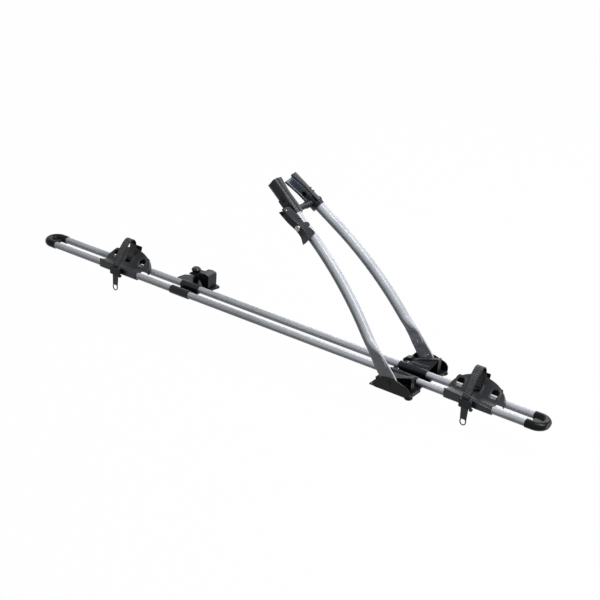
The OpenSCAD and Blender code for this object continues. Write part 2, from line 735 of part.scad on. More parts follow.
module rib_ring() {
    intersection() {
        difference() {
            translate([0, -jaw_in, 0]) cylinder(h = jaw_wall * 0.6, r = jaw_r + jaw_wall * 0.5);
            translate([0, -jaw_in, -cut])
                cylinder(h = jaw_wall + 2 * cut, r = jaw_r - jaw_wall / 2);
        }
        rotate([0, 0, 5]) translate([0, 0, -cut]) cube([2 * jaw_r, 2 * jaw_r, jaw_l]);
    }
}

module jaw_pad(s) {
    low = s > 0 ? 0 : near_rise;
    color("#7d8792") on_side(s) at_arm(jaw_s) difference() {
        intersection() {
            translate([0, 0, collar_h + seat])
                linear_extrude(jaw_l + low - collar_h - seat - jaw_pad_t)
                    jaw_section(jaw_r - jaw_wall - seat);
            translate([0, 0, low]) along(-jaw_r, jaw_r) jaw_side();
        }
        translate([0, 0, collar_h]) linear_extrude(jaw_l)
            jaw_section(jaw_r - jaw_wall - jaw_pad_t);
        translate([0, -jaw_in / 2, pad_hole_rise]) rotate([0, -90, 0])
            cylinder(h = 2 * jaw_r, d = pad_hole_d);
    }
}

module at_cross() {
    translate([cross_pt[0], 0, cross_pt[2]]) children();
}

module bolt_sleeve() {
    mid = bush_len * 0.1;
    half = bush_len / 2;
    color("#25272b") at_cross() difference() {
        union() {
            cross_rod(-half, half, bush_d);
            cross_rod(mid, half, bush_big_d);
            cross_rod(-half, -half + bush_d / 5, bush_big_d);
            translate([0, mid - bush_d / 4, 0]) rotate([-90, 0, 0])
                cylinder(h = bush_d / 4, d1 = bush_d, d2 = bush_big_d);
        }
        cross_rod(-bush_len, bush_len, cross_d + 2 * cross_slack);
    }
}

module cross_bolt() {
    color("gray") at_cross() {
        cross_rod(-cross_pt[1] - head_d / 2, knob_y + knob_w, cross_d);
        cross_rod(-cross_pt[1] - head_d / 2 - cross_d / 2, -cross_pt[1] - head_d / 2, head_d);
    }
}

knob_y = cross_pt[1] + jaw_back / cos(arm_lean) + knob_d / 2 * tan(arm_lean) + clear;
module adjuster_knob() {
    color("#222326") at_cross() difference() {
        cross_rod(knob_y, knob_y + knob_w, knob_d);
        cross_rod(knob_y - cut, knob_y + knob_w + cut, cross_d + 2 * pin_fit);
        for (k = [0 : knob_flutes - 1]) rotate([0, 360 * k / knob_flutes, 0])
            translate([knob_d / 2 + knob_d * 0.02, 0, 0])
                cross_rod(knob_y - cut, knob_y + knob_w + cut, knob_d * 0.1);
    }
}

// Lever
lever_top = jaw_s + lever_rise;
hinge_out = lever_out * 0.82;
hinge_s = lever_top - 2 * knuckle_r;
// Down the lever: share of its length, then half width and reach of the outer face and half
// width and reach of the inner edge, in shares of half the width and of the reach at the top
lever_shares = [[0, 0.592, 1, 0.625, 0.35], [0.298, 0.592, 0.888, 0.855, 0.325],
    [0.532, 0.592, 0.7, 0.888, 0.3], [0.67, 0.625, 0.638, 0.921, 0.2],
    [0.81, 0.658, 0.675, 1, 0.05], [1, 0.69, 0.9, 1, 0.1]];
// Side view of the lever: shares of the reach and of the length
lever_side_shares = [[1.2, -0.02], [1.2, 1.03], [0.9, 1], [0.5, 0.965], [0.1, 0.907], [0.05, 0.862],
    [0.14, 0.713], [0.24, 0.697], [0.19, 0.684], [0.07, 0.664], [0.025, 0.617], [0.07, 0.568],
    [0.19, 0.548], [0.3, 0.532], [0.325, 0.298], [0.35, 0.096], [0.4, 0.032], [0.54, -0.02]];

module hinge_rod(w, d) {
    at_arm(hinge_s) translate([-w / 2, hinge_out, 0]) rotate([0, 90, 0]) cylinder(h = w, d = d);
}

// Trapezium of the lever at one of its stations, smaller by an inset on its three outer sides
function lever_ring(q, inset) =
    let(h = lever_w / 2, low = -lever_out * 0.05, k = (q[3] - q[1]) * h / ((q[2] - q[4]) * lever_out),
        a = q[1] * h - inset, b = q[2] * lever_out - inset,
        c = q[3] * h + k * (q[4] * lever_out - low) - inset, r = lever_wall * 1.5 - inset / 2)
    [for (v = concat([[-c, low]], corner([-c, low], [-a, b], [a, b], r, 4),
        corner([-a, b], [a, b], [c, low], r, 4), [[c, low]])) [v[0], v[1], -q[0] * lever_l]];

module lever_loft(inset) {
    p = concat(spline(lever_shares, 3), [lever_shares[len(lever_shares) - 1]]);
    skin([for (q = p) lever_ring([q[0] * (1 + cut / lever_l), q[1], q[2], q[3],
        q[4]], inset)]);
}

module lever() {
    color("#25272b") mirror([0, 1, 0]) difference() {
        at_arm(lever_top) difference() {
            intersection() {
                lever_loft(0);
                along(-lever_w, lever_w) polygon([for (q = lever_side_shares)
                    [q[0] * lever_out, -q[1] * lever_l]]);
            }
            difference() {
                lever_loft(lever_wall);
                translate([-lever_w, -lever_out, -lever_wall])
                    cube([2 * lever_w, 3 * lever_out, lever_l]);
            }
            translate([0, 0, -lever_l - cut]) cylinder(h = lever_l + 2 * cut,
                r = arm_d / 2 + lever_gap);
            translate([0, lever_out * 0.4, -lock_down]) rotate([-90, 0, 0])
                cylinder(h = lever_out, d = lock_d + 2 * pin_fit);
            translate([-tongue_w / 2 - clear, 0, -lever_l * 0.12])
                cube([tongue_w + 2 * clear, lever_out + cut, lever_l]);
        }
        hinge_rod(2 * lever_w, lever_pin_d + 2 * pin_fit);
    }
}

module lever_pin() {
    color("silver") mirror([0, 1, 0]) hinge_rod(lever_w * 0.6, lever_pin_d);
}

module lock_cylinder() {
    color("silver") mirror([0, 1, 0]) at_arm(lever_top) translate([0, 0, -lock_down])
        rotate([-90, 0, 0]) translate([0, 0, lever_out * 0.715 - lock_l]) difference() {
            cylinder(h = lock_l, d = lock_d);
            translate([-lock_d * 0.08, -lock_d * 0.25, lock_l * 0.7])
                cube([lock_d * 0.16, lock_d * 0.5, lock_l]);
        }
}

// Rear clamp
rear_mid = rear_plate_y + rear_plate_w / 2;
rear_back = -rear_x - rear_plate_l * 0.647;
knob_x = -rear_x - rear_sleeve_l * 0.41;
// Outline of the base plate in shares of its length and width
rear_plate_shares = [[0, 0.3], [0.06, 0.05], [0.15, 0], [0.93, 0], [1, 0.9], [0.86, 1],
    [0.15, 1], [0.03, 0.8]];
// Side outline of the claw in shares of its length and height
claw_shares = [[-0.34, 0.61], [-0.34, 0.72], [0.2, 0.74], [0.42, 0.95], [0.7, 1],
    [0.93, 0.95], [1, 0.86], [1, 0], [0.62, 0], [0.5, 0.3], [0.28, 0.52], [0.1, 0.61]];
hollow_shares = [[0.4, 0.62], [0.5, 0.88], [0.72, 0.93], [0.9, 0.9], [0.93, 0.1],
    [0.72, 0.1], [0.6, 0.35]];
claw_l = rear_plate_l * 0.4;
claw_x = -rear_x - rear_sleeve_l * 0.288;

module rear_base() {
    color("#222326") difference() {
        union() {
            for (s = [-1, 1]) translate([-rear_x, s * rail_y, rail_z])
                rod(-rear_sleeve_l / 2, rear_sleeve_l / 2, rear_sleeve_d);
            translate([-rear_x - rear_sleeve_l / 2, -rail_y, under_z + base_t])
                cube([rear_sleeve_l, rail_y + rear_plate_y + tray_wall, tray_wall * 1.4]);
            translate([rear_back, rear_plate_y, under_z]) linear_extrude(base_t * 1.6)
                polygon(rounded(scaled(rear_plate_shares, rear_plate_l, rear_plate_w), tray_wall));
            translate([knob_x, rear_mid, under_z])
                cylinder(h = claw_h * 0.45, d = rear_screw_d * 2);
        }
        for (s = [-1, 1]) translate([-rear_x, s * rail_y, rail_z])
            rod(-rear_sleeve_l, rear_sleeve_l, rail_d + 2 * slide_fit);
        translate([-rear_x - rear_plate_l, -rail_pitch, -cut])
            cube([2 * rear_plate_l, 4 * rail_pitch, under_z + cut]);
        translate([knob_x, rear_mid, under_z + base_t])
            cylinder(h = claw_h, d = rear_screw_d + 2 * pin_fit);
    }
}

module rear_pad() {
    color("#303030") translate([rear_back + rear_plate_l * 0.15, rear_plate_y + tray_wall, 0])
        cube([rear_plate_l * 0.7, rear_plate_w - 2 * tray_wall, under_z]);
}

module rear_claw() {
    color("#25272b") difference() {
        translate([claw_x, 0, under_z + base_t * 1.6])
            across(rear_mid - claw_w / 2, rear_mid + claw_w / 2)
                polygon(rounded(scaled(claw_shares, claw_l, claw_h - base_t * 1.6), claw_wall * 0.8));
        translate([claw_x, 0, under_z + base_t * 1.6])
            across(rear_mid - claw_w / 2 + claw_wall, rear_mid + claw_w / 2 - claw_wall)
                polygon(scaled(hollow_shares, claw_l, claw_h - base_t * 1.6));
        translate([claw_x + claw_l * 0.64, rear_mid - claw_w, under_z + claw_h * 0.55])
            rotate([-90, 0, 0]) cylinder(h = claw_w, d = claw_wall * 1.6);
        translate([knob_x, rear_mid, 0]) cylinder(h = 2 * claw_h,
            d = rear_screw_d + 2 * clear);
    }
}

module rear_knob() {
    z0 = under_z + base_t * 1.6 + (claw_h - base_t * 1.6) * 0.74 + clear;
    color("#222326") translate([knob_x, rear_mid, 0]) {
        translate([0, 0, z0]) cylinder(h = rear_knob_h * 0.35, d1 = rear_knob_d * 0.8,
            d2 = rear_knob_d);
        translate([0, 0, z0 + rear_knob_h * 0.35]) cylinder(h = rear_knob_h * 0.3,
            d = rear_knob_d);
        translate([0, 0, z0 + rear_knob_h * 0.65]) cylinder(h = rear_knob_h * 0.35,
            d1 = rear_knob_d, d2 = rear_knob_d * 0.72);
        translate([0, 0, under_z + base_t + clear])
            cylinder(h = z0 - under_z - base_t, d = rear_screw_d);
    }
}

// Wheel trays
wing_z = under_z + wing_rise;

module on_wing() {
    translate([0, 0, wing_z]) rotate([wing_slope, 0, 0]) children();
}

function half_ellipse(a, b, n) = [for (i = [0 : n]) let(t = 180 * i / n)
    [(t < 90 ? a : a - wing_trim) * cos(t), b * sin(t)]];

module wing_outline(inset) {
    polygon(concat(half_ellipse(wing_a - inset, wing_b - inset, 36),
        [[-wing_a + wing_trim + inset, -tray_wall], [wing_a - inset, -tray_wall]]));
}

module wing_hole() {
    r = wing_hole_w / 2;
    polygon(concat([[-r, 0]], [for (i = [0 : 12]) let(t = 180 - 15 * i)
        [r * cos(t), wing_hole_h - r + r * sin(t)]], [[r, 0]]));
}

module tray() {
    x1 = tray_l / 2;
    ridge = tray_sleeve_d / 2;
    difference() {
        union() {
            translate([0, -rail_y, rail_z]) rod(-x1, x1, tray_sleeve_d);
            across(-rail_y - ridge, -rail_y - ridge + tray_wall) polygon([[-x1, rail_z - ridge / 2],
                [x1, rail_z - ridge / 2], [x1, rail_z + ridge * 0.6], [-x1, rail_z + ridge * 1.4]]);
            translate([-x1, -rail_y, rail_z + rail_r - tray_wall])
                cube([tray_l, rail_y + tray_wall, tray_wall]);
            on_wing() difference() {
                linear_extrude(tray_wall) wing_outline(0);
                for (k = [-1, 0, 1]) translate([k * wing_hole_pitch, wing_b * 0.12, -cut])
                    linear_extrude(tray_wall + 2 * cut) wing_hole();
            }
            on_wing() translate([0, 0, -rim_depth]) linear_extrude(rim_depth + cut)
                difference() {
                    wing_outline(0);
                    wing_outline(tray_wall * 0.8);
                }
            for (s = [-1, 1]) translate([s * wing_hole_pitch / 2 - tray_wall / 2, 0, 0])
                along(0, tray_wall) polygon([[0, wing_z - tray_wall], [rail_y, rail_z],
                    [rail_y + ridge * 0.9, rail_z + ridge * 0.3],
                    [wing_b * cos(wing_slope) * 0.8, wing_z + wing_b * sin(wing_slope) * 0.8]]);
            translate([0, rail_y, rail_z]) rod(-wing_hole_pitch / 2 - tray_wall,
                wing_hole_pitch / 2 + tray_wall, tray_sleeve_d);
        }
        for (s = [-1, 1]) translate([0, s * rail_y, rail_z])
            rod(-wing_a - cut, wing_a + cut, rail_d + 2 * slide_fit);
        translate([-wing_a, rail_y - rail_r / 2, 0]) cube([2 * wing_a, rail_r, rail_z]);
    }
}

module tray_at(x) {
    color("#25272b") translate([x, 0, 0]) tray();
}

// Straps and buckles
strap_y = rail_y + tray_sleeve_d / 2 + buckle_t / 2 + seat;
buckle_z = under_z + rail_rise * 0.45;
// Path of a strap over the wheel, in shares of the height of its loop
strap_h = 89;
strap_shares = [[-0.42, 0.3], [-0.4, 0.4], [-0.285, 0.59], [-0.145, 0.77], [-0.015, 0.905],
    [0.1, 0.975], [0.215, 0.955], [0.29, 0.84], [0.29, 0.68], [0.23, 0.52], [0.165, 0.395],
    [0.22, 0.325], [0.37, 0.362], [0.488, 0.44], [0.55, 0.55], [0.565, 0.64]];

module strap() {
    a = [[-strap_y, buckle_z], [-strap_y, buckle_z + buckle_h]];
    p = spline(concat(a, shifted(scaled([for (i = [1 : len(strap_shares) - 1]) strap_shares[i]],
        strap_h, strap_h), 0, under_z)), 4);
    run = lengths(p);
    half = strap_w / 2;
    z0 = buckle_z - strap_h * 0.52;
    union() {
        along(-half, half) polygon(ribbon(p, strap_t / 2, -strap_t / 2));
        along(-half * 0.8, half * 0.8) for (k = [0 : 60]) let(d = buckle_h * 1.4 + k * tooth_pitch)
            if (d < strap_h * 1.35) let(i = [for (j = [1 : len(run) - 1]) if (run[j] >= d) j][0],
                q = p[i], n = normal_at(p, i), v = [n[1], -n[0]])
                polygon([q + v * tooth_pitch * 0.3 + n * strap_t * 0.4,
                    q + v * tooth_pitch * 0.3 + n * (strap_t / 2 + tooth_h),
                    q - v * tooth_pitch * 0.3 + n * strap_t * 0.4]);
        across(-strap_y - strap_t / 2, -strap_y + strap_t / 2) difference() {
            polygon(rounded([[-half * 0.8, z0], [half * 0.8, z0], [half, buckle_z + cut],
                [-half, buckle_z + cut]], half * 0.7, 8));
            translate([0, z0 + half * 0.95]) circle(r = half * 0.6);
        }
    }
}

module strap_at(x) {
    color("#1e1f22") translate([x, 0, 0]) strap();
}

module buckle() {
    w = buckle_w / 2;
    y0 = -strap_y - buckle_t / 2;
    difference() {
        across(y0, y0 + buckle_t) polygon(rounded([[-w, buckle_z], [w, buckle_z],
            [w, buckle_z + buckle_h], [-w, buckle_z + buckle_h]], buckle_t * 0.25));
        translate([-strap_w / 2 - clear, -strap_y - strap_t / 2 - 2 * clear, buckle_z - cut])
            cube([strap_w + 2 * clear, strap_t + 3 * clear, buckle_h + 2 * cut]);
        translate([0, -strap_y - strap_t * 1.5, buckle_z + buckle_h * 0.8])
            rod(-buckle_w, buckle_w, release_pin_d + 2 * pin_fit);
    }
}

module buckle_at(x) {
    color("#1b1b1d") translate([x, 0, 0]) buckle();
}

module release() {
    w = buckle_w / 2;
    z1 = buckle_z + buckle_h * 0.8;
    translate([0, -strap_y - strap_t * 1.5, z1]) {
        rod(-w * 0.9, w + clear + release_t, release_pin_d);
        translate([w + clear, 0, 0]) rod(0, release_t, release_pin_d * 2);
        translate([w + clear, -release_pin_d, -buckle_h * 0.78]) cube([release_t,
            release_pin_d * 2, buckle_h * 0.78]);
        translate([w + clear, -release_pin_d, -buckle_h * 0.92])
            cube([release_t * 1.6, release_pin_d * 2.4, buckle_h * 0.2]);
    }
}

module release_at(x) {
    color("#2a2b2f") translate([x, 0, 0]) release();
}

rail(-1);  // rail_near
rail(1);  // rail_far
translate([front_reach, 0, 0]) end_cap();  // end_cap_front
translate([-rear_reach, 0, 0]) mirror([1, 0, 0])  // end_cap_rear
    end_cap();
bracket();
bar_pad();
bracket_feet();
cheek_on(-1);  // cheek_near
cheek_on(1);  // cheek_far
cheek_screws();
pivot_bolts();
pivot_nuts();
arm(-1);  // arm_near
arm(1);  // arm_far
jaw(-1);  // jaw_near
jaw(1);  // jaw_far
jaw_pad(-1);  // jaw_pad_near
jaw_pad(1);  // jaw_pad_far
bolt_sleeve();
cross_bolt();
adjuster_knob();
lever();
lever_pin();
lock_cylinder();
rear_base();
rear_pad();
rear_claw();
rear_knob();
tray_at(tray_front_x);  // tray_front
tray_at(-tray_rear_x);  // tray_rear
strap_at(tray_front_x);  // strap_front
strap_at(-tray_rear_x);  // strap_rear
buckle_at(tray_front_x);  // buckle_front
buckle_at(-tray_rear_x);  // buckle_rear
release_at(tray_front_x);  // release_front
release_at(-tray_rear_x);  // release_rear
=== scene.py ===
"""Looks of a roof mounted bike carrier: finishes, soft pieces, small parts, light and camera.

Lengths are in millimetres inside the classes and in metres in the meshes.  The frame is the one of
the solids: X along the rails to the front of the vehicle, -Y to the lever, Z up, origin on the bar.
"""
from __future__ import annotations

import json
import logging
import math
from dataclasses import dataclass, field
from enum import Enum
from typing import Sequence

import bmesh
import bpy
import numpy as np
from mathutils import Matrix


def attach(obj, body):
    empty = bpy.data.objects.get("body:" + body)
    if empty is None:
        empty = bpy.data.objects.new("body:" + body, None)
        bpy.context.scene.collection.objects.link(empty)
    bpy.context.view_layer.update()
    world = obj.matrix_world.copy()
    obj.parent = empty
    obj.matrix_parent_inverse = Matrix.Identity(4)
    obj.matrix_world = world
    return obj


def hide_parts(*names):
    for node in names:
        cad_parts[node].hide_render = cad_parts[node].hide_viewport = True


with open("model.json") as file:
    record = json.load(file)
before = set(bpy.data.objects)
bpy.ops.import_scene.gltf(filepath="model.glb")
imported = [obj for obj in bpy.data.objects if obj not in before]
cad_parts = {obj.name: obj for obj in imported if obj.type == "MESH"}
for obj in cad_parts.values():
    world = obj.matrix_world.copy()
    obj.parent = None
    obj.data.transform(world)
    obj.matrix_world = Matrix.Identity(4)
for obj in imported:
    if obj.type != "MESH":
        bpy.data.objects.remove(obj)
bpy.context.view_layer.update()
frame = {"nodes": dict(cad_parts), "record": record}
log = logging.getLogger("carrier")
MM = 0.001
TRAYS = ((170.0, "front_tray", "strap_front"), (-862.0, "back_tray", "strap_rear"))


class Side(Enum):
    """The two sides of the carrier, as the sign of Y."""

    NEAR = -1
    FAR = 1


# Colour and node helpers
def linear(hex_colour: str) -> tuple[float, float, float, float]:
    """Turns an sRGB hex colour into linear light.

    Args:
        hex_colour: six hex digits, red first.

    Returns:
        Red, green and blue by the sRGB curve (a straight foot, then a power of 2.4), and alpha 1.
    """
    parts = [int(hex_colour[i:i + 2], 16) / 255 for i in (0, 2, 4)]
    red, green, blue = [c / 12.92 if c <= 0.04045 else ((c + 0.055) / 1.055) ** 2.4 for c in parts]
    return (red, green, blue, 1.0)


def add_node(tree: bpy.types.NodeTree, kind: str, settings: dict | None = None,
             inputs: dict | None = None) -> bpy.types.Node:
    """Adds one node with its settings and its inputs.

    Args:
        tree: the node tree that gets the node.
        kind: the node's type name.
        settings: attributes of the node.
        inputs: socket name or number to a value, or to an output socket that is linked to it.

    Returns:
        The new node.
    """
    node = tree.nodes.new(kind)
    for name, value in (settings or {}).items():
        setattr(node, name, value)
    for name, value in (inputs or {}).items():
        if isinstance(value, bpy.types.NodeSocket):
            tree.links.new(value, node.inputs[name])
        else:
            node.inputs[name].default_value = value
    return node


# Finishes
@dataclass(frozen=True)
class Finish:
    """A finish: its name, its base colour and how it takes the light."""

    name: str
    colour: str
    roughness: float = 0.5
    metallic: float = 0.0
    ior: float = 1.5
    specular: float = 0.5
    edge_mm: float = 0.0
    mottle_per_m: float = 180.0

    def start(self) -> tuple[bpy.types.Material, bpy.types.NodeTree, bpy.types.Node]:
        """Makes the material with its shader.

        Returns:
            The material, its node tree and its shader node.
        """
        material = bpy.data.materials.new(self.name)
        material.use_nodes = True
        tree = material.node_tree
        shader = tree.nodes["Principled BSDF"]
        shader.inputs["Base Color"].default_value = linear(self.colour)
        shader.inputs["Roughness"].default_value = self.roughness
        shader.inputs["Metallic"].default_value = self.metallic
        shader.inputs["Specular IOR Level"].default_value = self.specular
        if self.metallic < 0.5:
            shader.inputs["IOR"].default_value = self.ior
        return material, tree, shader

    def relief(self, tree: bpy.types.NodeTree, shader: bpy.types.Node,
               height: bpy.types.NodeSocket, strength: float, depth_mm: float) -> None:
        """Bumps the surface, over edges that are rounded by the edge radius where one is given.

        Args:
            tree: the material's node tree.
            shader: its shader.
            height: the pattern.
            strength: share of the bump that shows.
            depth_mm: height of the pattern in millimetres.
        """
        inputs = {"Height": height, "Strength": strength, "Distance": depth_mm * MM}
        if self.edge_mm > 0:
            inputs["Normal"] = add_node(tree, "ShaderNodeBevel", {"samples": 6}, {
                "Radius": self.edge_mm * MM}).outputs["Normal"]
        bump = add_node(tree, "ShaderNodeBump", inputs=inputs)
        tree.links.new(bump.outputs["Normal"], shader.inputs["Normal"])

    def tone(self, tree: bpy.types.NodeTree, factor: bpy.types.NodeSocket,
             span: tuple[float, float], pale: tuple[float, ...]) -> bpy.types.NodeSocket:
        """Goes from the base colour to a paler one while a pattern goes through a span.

        Args:
            tree: the material's node tree.
            factor: the pattern.
            span: values of the pattern at which the colour leaves one end and reaches the other.
            pale: linear colour at the far end.

        Returns:
            The colour.
        """
        share = add_node(tree, "ShaderNodeMapRange", inputs={
            "Value": factor, "From Min": span[0], "From Max": span[1]}).outputs["Result"]
        return add_node(tree, "ShaderNodeMix", {"data_type": "RGBA"}, {
            0: share, 6: linear(self.colour), 7: pale}).outputs[2]

    def vary_roughness(self, tree: bpy.types.NodeTree, shader: bpy.types.Node,
                       factor: bpy.types.NodeSocket, less: float, more: float) -> None:
        """Lets the roughness follow a pattern between two values round its own.

        Args:
            tree: the material's node tree.
            shader: its shader.
            factor: the pattern, mostly between 0.3 and 0.7.
            less: how far the roughness goes below its own value.
            more: how far it goes above.
        """
        rough = add_node(tree, "ShaderNodeMapRange", inputs={
            "Value": factor, "From Min": 0.3, "From Max": 0.7,
            "To Min": self.roughness - less, "To Max": self.roughness + more})
        tree.links.new(rough.outputs["Result"], shader.inputs["Roughness"])

    def material(self) -> bpy.types.Material:
        """Builds the finished material with a faint mottling; other finishes add their own surface.

        Returns:
            The material.
        """
        material, tree, shader = self.start()
        place = add_node(tree, "ShaderNodeTexCoord").outputs["Object"]
        cloud = add_node(tree, "ShaderNodeTexNoise", inputs={
            "Vector": place, "Scale": self.mottle_per_m, "Detail": 3.0})
        self.vary_roughness(tree, shader, cloud.outputs["Fac"], 0.05, 0.07)
        self.relief(tree, shader, cloud.outputs["Fac"], 0.1, 0.05)
        return material


@dataclass(frozen=True)
class AnodisedTube(Finish):
    """Aluminium tube, drawn, matt etched and anodised: soft silver with fine lengthwise lines."""

    grain_mm: float = 2.6
    line_mm: float = 150.0
    cloud_per_m: float = 18.0
    pale: str = "b2b6bc"
    course: str = ""

    def material(self) -> bpy.types.Material:
        """Adds draw lines along the tube and a slow change of tone.

        The place, or on a bent tube the place before bending, is divided by the length and the
        width of a draw line.  Real lines are 0.05 mm wide; they are drawn wider so that they show.

        Returns:
            The material.
        """
        material, tree, shader = self.start()
        place = add_node(tree, "ShaderNodeTexCoord").outputs["Object"]
        if self.course:
            place = add_node(tree, "ShaderNodeAttribute", {
                "attribute_name": self.course}).outputs["Vector"]
        stretched = add_node(tree, "ShaderNodeMapping", {"vector_type": "TEXTURE"}, {
            "Vector": place,
            "Scale": (self.line_mm * MM, self.grain_mm * MM, self.grain_mm * MM)})
        lines = add_node(tree, "ShaderNodeTexNoise", inputs={
            "Vector": stretched.outputs["Vector"], "Scale": 1.0, "Detail": 2.0, "Roughness": 0.5})
        cloud = add_node(tree, "ShaderNodeTexNoise", inputs={
            "Vector": place, "Scale": self.cloud_per_m, "Detail": 2.0})
        both = add_node(tree, "ShaderNodeMath", {"operation": "MULTIPLY_ADD"}, {
            0: lines.outputs["Fac"], 1: 0.5, 2: cloud.outputs["Fac"]})
        tone = self.tone(tree, both.outputs[0], (0.5, 1.0), linear(self.pale))
        tree.links.new(tone, shader.inputs["Base Color"])
        self.vary_roughness(tree, shader, lines.outputs["Fac"], 0.02, 0.03)
        self.relief(tree, shader, lines.outputs["Fac"], 0.01, 0.06)
        return material


@dataclass(frozen=True)
class MouldedNylon(Finish):
    """Glass filled nylon from a spark eroded mould: charcoal, fine even grain, slightly mottled."""

    grain_mm: float = 2.5
    grain_depth: float = 0.1
    cloud_per_m: float = 35.0
    lift: float = 1.5
    # Colour of the painted highlight on the tips of a strap's teeth
    crest_highlight: str = ""

    def material(self) -> bpy.types.Material:
        """Adds the mould grain, a faint mottling of tone and, on a strap, a painted highlight:
        paler colour on the tips of the teeth and on the tail's relief, by an attribute of the mesh.

        The real grain is about 0.1 mm; it is drawn coarser so that it shows.

        Returns:
            The material.
        """
        material, tree, shader = self.start()
        place = add_node(tree, "ShaderNodeTexCoord").outputs["Object"]
        grain = add_node(tree, "ShaderNodeTexNoise", inputs={
            "Vector": place, "Scale": 1000 / self.grain_mm, "Detail": 3.0, "Roughness": 0.6})
        cloud = add_node(tree, "ShaderNodeTexNoise", inputs={
            "Vector": place, "Scale": self.cloud_per_m, "Detail": 3.0})
        pale = tuple(min(1.0, c * self.lift + 0.0005) for c in linear(self.colour)[:3]) + (1.0,)
        tone = self.tone(tree, cloud.outputs["Fac"], (0.3, 0.75), pale)
        # Painted highlight: the colour goes to the pale one where the mesh attribute says
        if self.crest_highlight:
            painted_highlight = add_node(tree, "ShaderNodeAttribute", {"attribute_name": "crest_highlight"})
            tone = add_node(tree, "ShaderNodeMix", {"data_type": "RGBA"}, {
                0: painted_highlight.outputs["Fac"], 6: tone, 7: linear(self.crest_highlight)}).outputs[2]
        tree.links.new(tone, shader.inputs["Base Color"])
        self.vary_roughness(tree, shader, grain.outputs["Fac"], 0.05, 0.06)
        self.relief(tree, shader, grain.outputs["Fac"], self.grain_depth, 0.06)
        return material


FINISHES: dict[str, Finish] = {
    # Drawn, etched and anodised tube: soft bright band along it, grey where it turns away
    "rail_alu": AnodisedTube("anodised_rail_tube", "94989e", 0.22, 0.08, specular=0.5,
                             pale="a8acb2"),
    "arm_alu": AnodisedTube("anodised_arm_tube", "9ca0a6", 0.30, 0.06, specular=0.15,
                            course="straight"),
    # Moulded tray nylon: the charcoal nylon painted lighter for the trays, a lit copy for the wing
    # that faces up, with a wide soft sheen
    "lit_tray_nylon": MouldedNylon("moulded_tray_nylon", "17191d", 0.38, specular=0.4, edge_mm=0.9),
    # Powder coat: near black, even, almost without reflections
    "black_steel": MouldedNylon("powder_coated_steel", "0b0b0d", 0.40, specular=0.2, edge_mm=0.6),
    # Glass filled nylon: blue black, light lines only on the rounded edges
    "body_plastic": MouldedNylon("moulded_glass_nylon", "0d1015", 0.34, specular=0.22, edge_mm=0.7),
    # Polished mould of the end caps: black and smooth
    "cap_plastic": MouldedNylon("moulded_end_cap", "0b0c0e", 0.30, specular=0.1, edge_mm=1.0,
                                grain_depth=0.03),
    # Strap plastic: black, with a grey painted highlight on the tips of the teeth where they catch
    # the light
    "strap_plastic": MouldedNylon("toothed_strap_plastic", "0a0a0c", 0.30, specular=0.3,
                                  crest_highlight="66686c"),
    # Pale plastic of the cheek beads: a painted highlight, the light line along the edge of a rib
    "rib_highlight_paint": MouldedNylon("painted_rib_highlight", "5c5e63", 0.3, specular=0.4),
    # Moulded rubber: matt black; also the painted shade in holes and in the pockets behind the wing
    # holes
    "black_rubber": MouldedNylon("black_rubber", "101012", 0.7, specular=0.2, edge_mm=0.6),
    # Soft pad rubber: blue grey and matt, with paler raised marks
    "grey_rubber": MouldedNylon("blue_grey_rubber", "b4bfca", 0.6, specular=0.3, edge_mm=0.4,
                                lift=1.1),
    "pale_pad": MouldedNylon("raised_pad_marks", "dde2e6", 0.5, specular=0.3, lift=1.05),
    # Zinc plate and chrome plate: bright metal, the second almost a mirror
    "zinc_steel": Finish("zinc_plated_steel", "a9a9ab", 0.3, 1.0, edge_mm=0.3),
    "lock_chrome": Finish("chrome_plated_lock", "8c8c90", 0.2, 1.0, edge_mm=0.4),
}


# Surfaces
def ring_faces(rows: int, cols: int, wrap: bool = True, caps: bool = True) -> list[tuple[int, ...]]:
    """Faces of a grid of points that is numbered row by row.

    Args:
        rows: number of rows.
        cols: number of points in a row.
        wrap: whether the last point of a row joins the first.
        caps: whether the first and last row are closed by one face each.

    Returns:
        Corner numbers of each face: four neighbours that share two rows and two columns.
    """
    span = cols if wrap else cols - 1
    i, j = np.meshgrid(np.arange(rows - 1), np.arange(span), indexing="ij")
    k = (j + 1) % cols
    quads = np.stack([i * cols + j, i * cols + k, (i + 1) * cols + k, (i + 1) * cols + j], -1)
    faces = [tuple(q) for q in quads.reshape(-1, 4).tolist()]
    if caps:
        faces += [tuple(range(cols)), tuple(range((rows - 1) * cols, rows * cols))]
    return faces


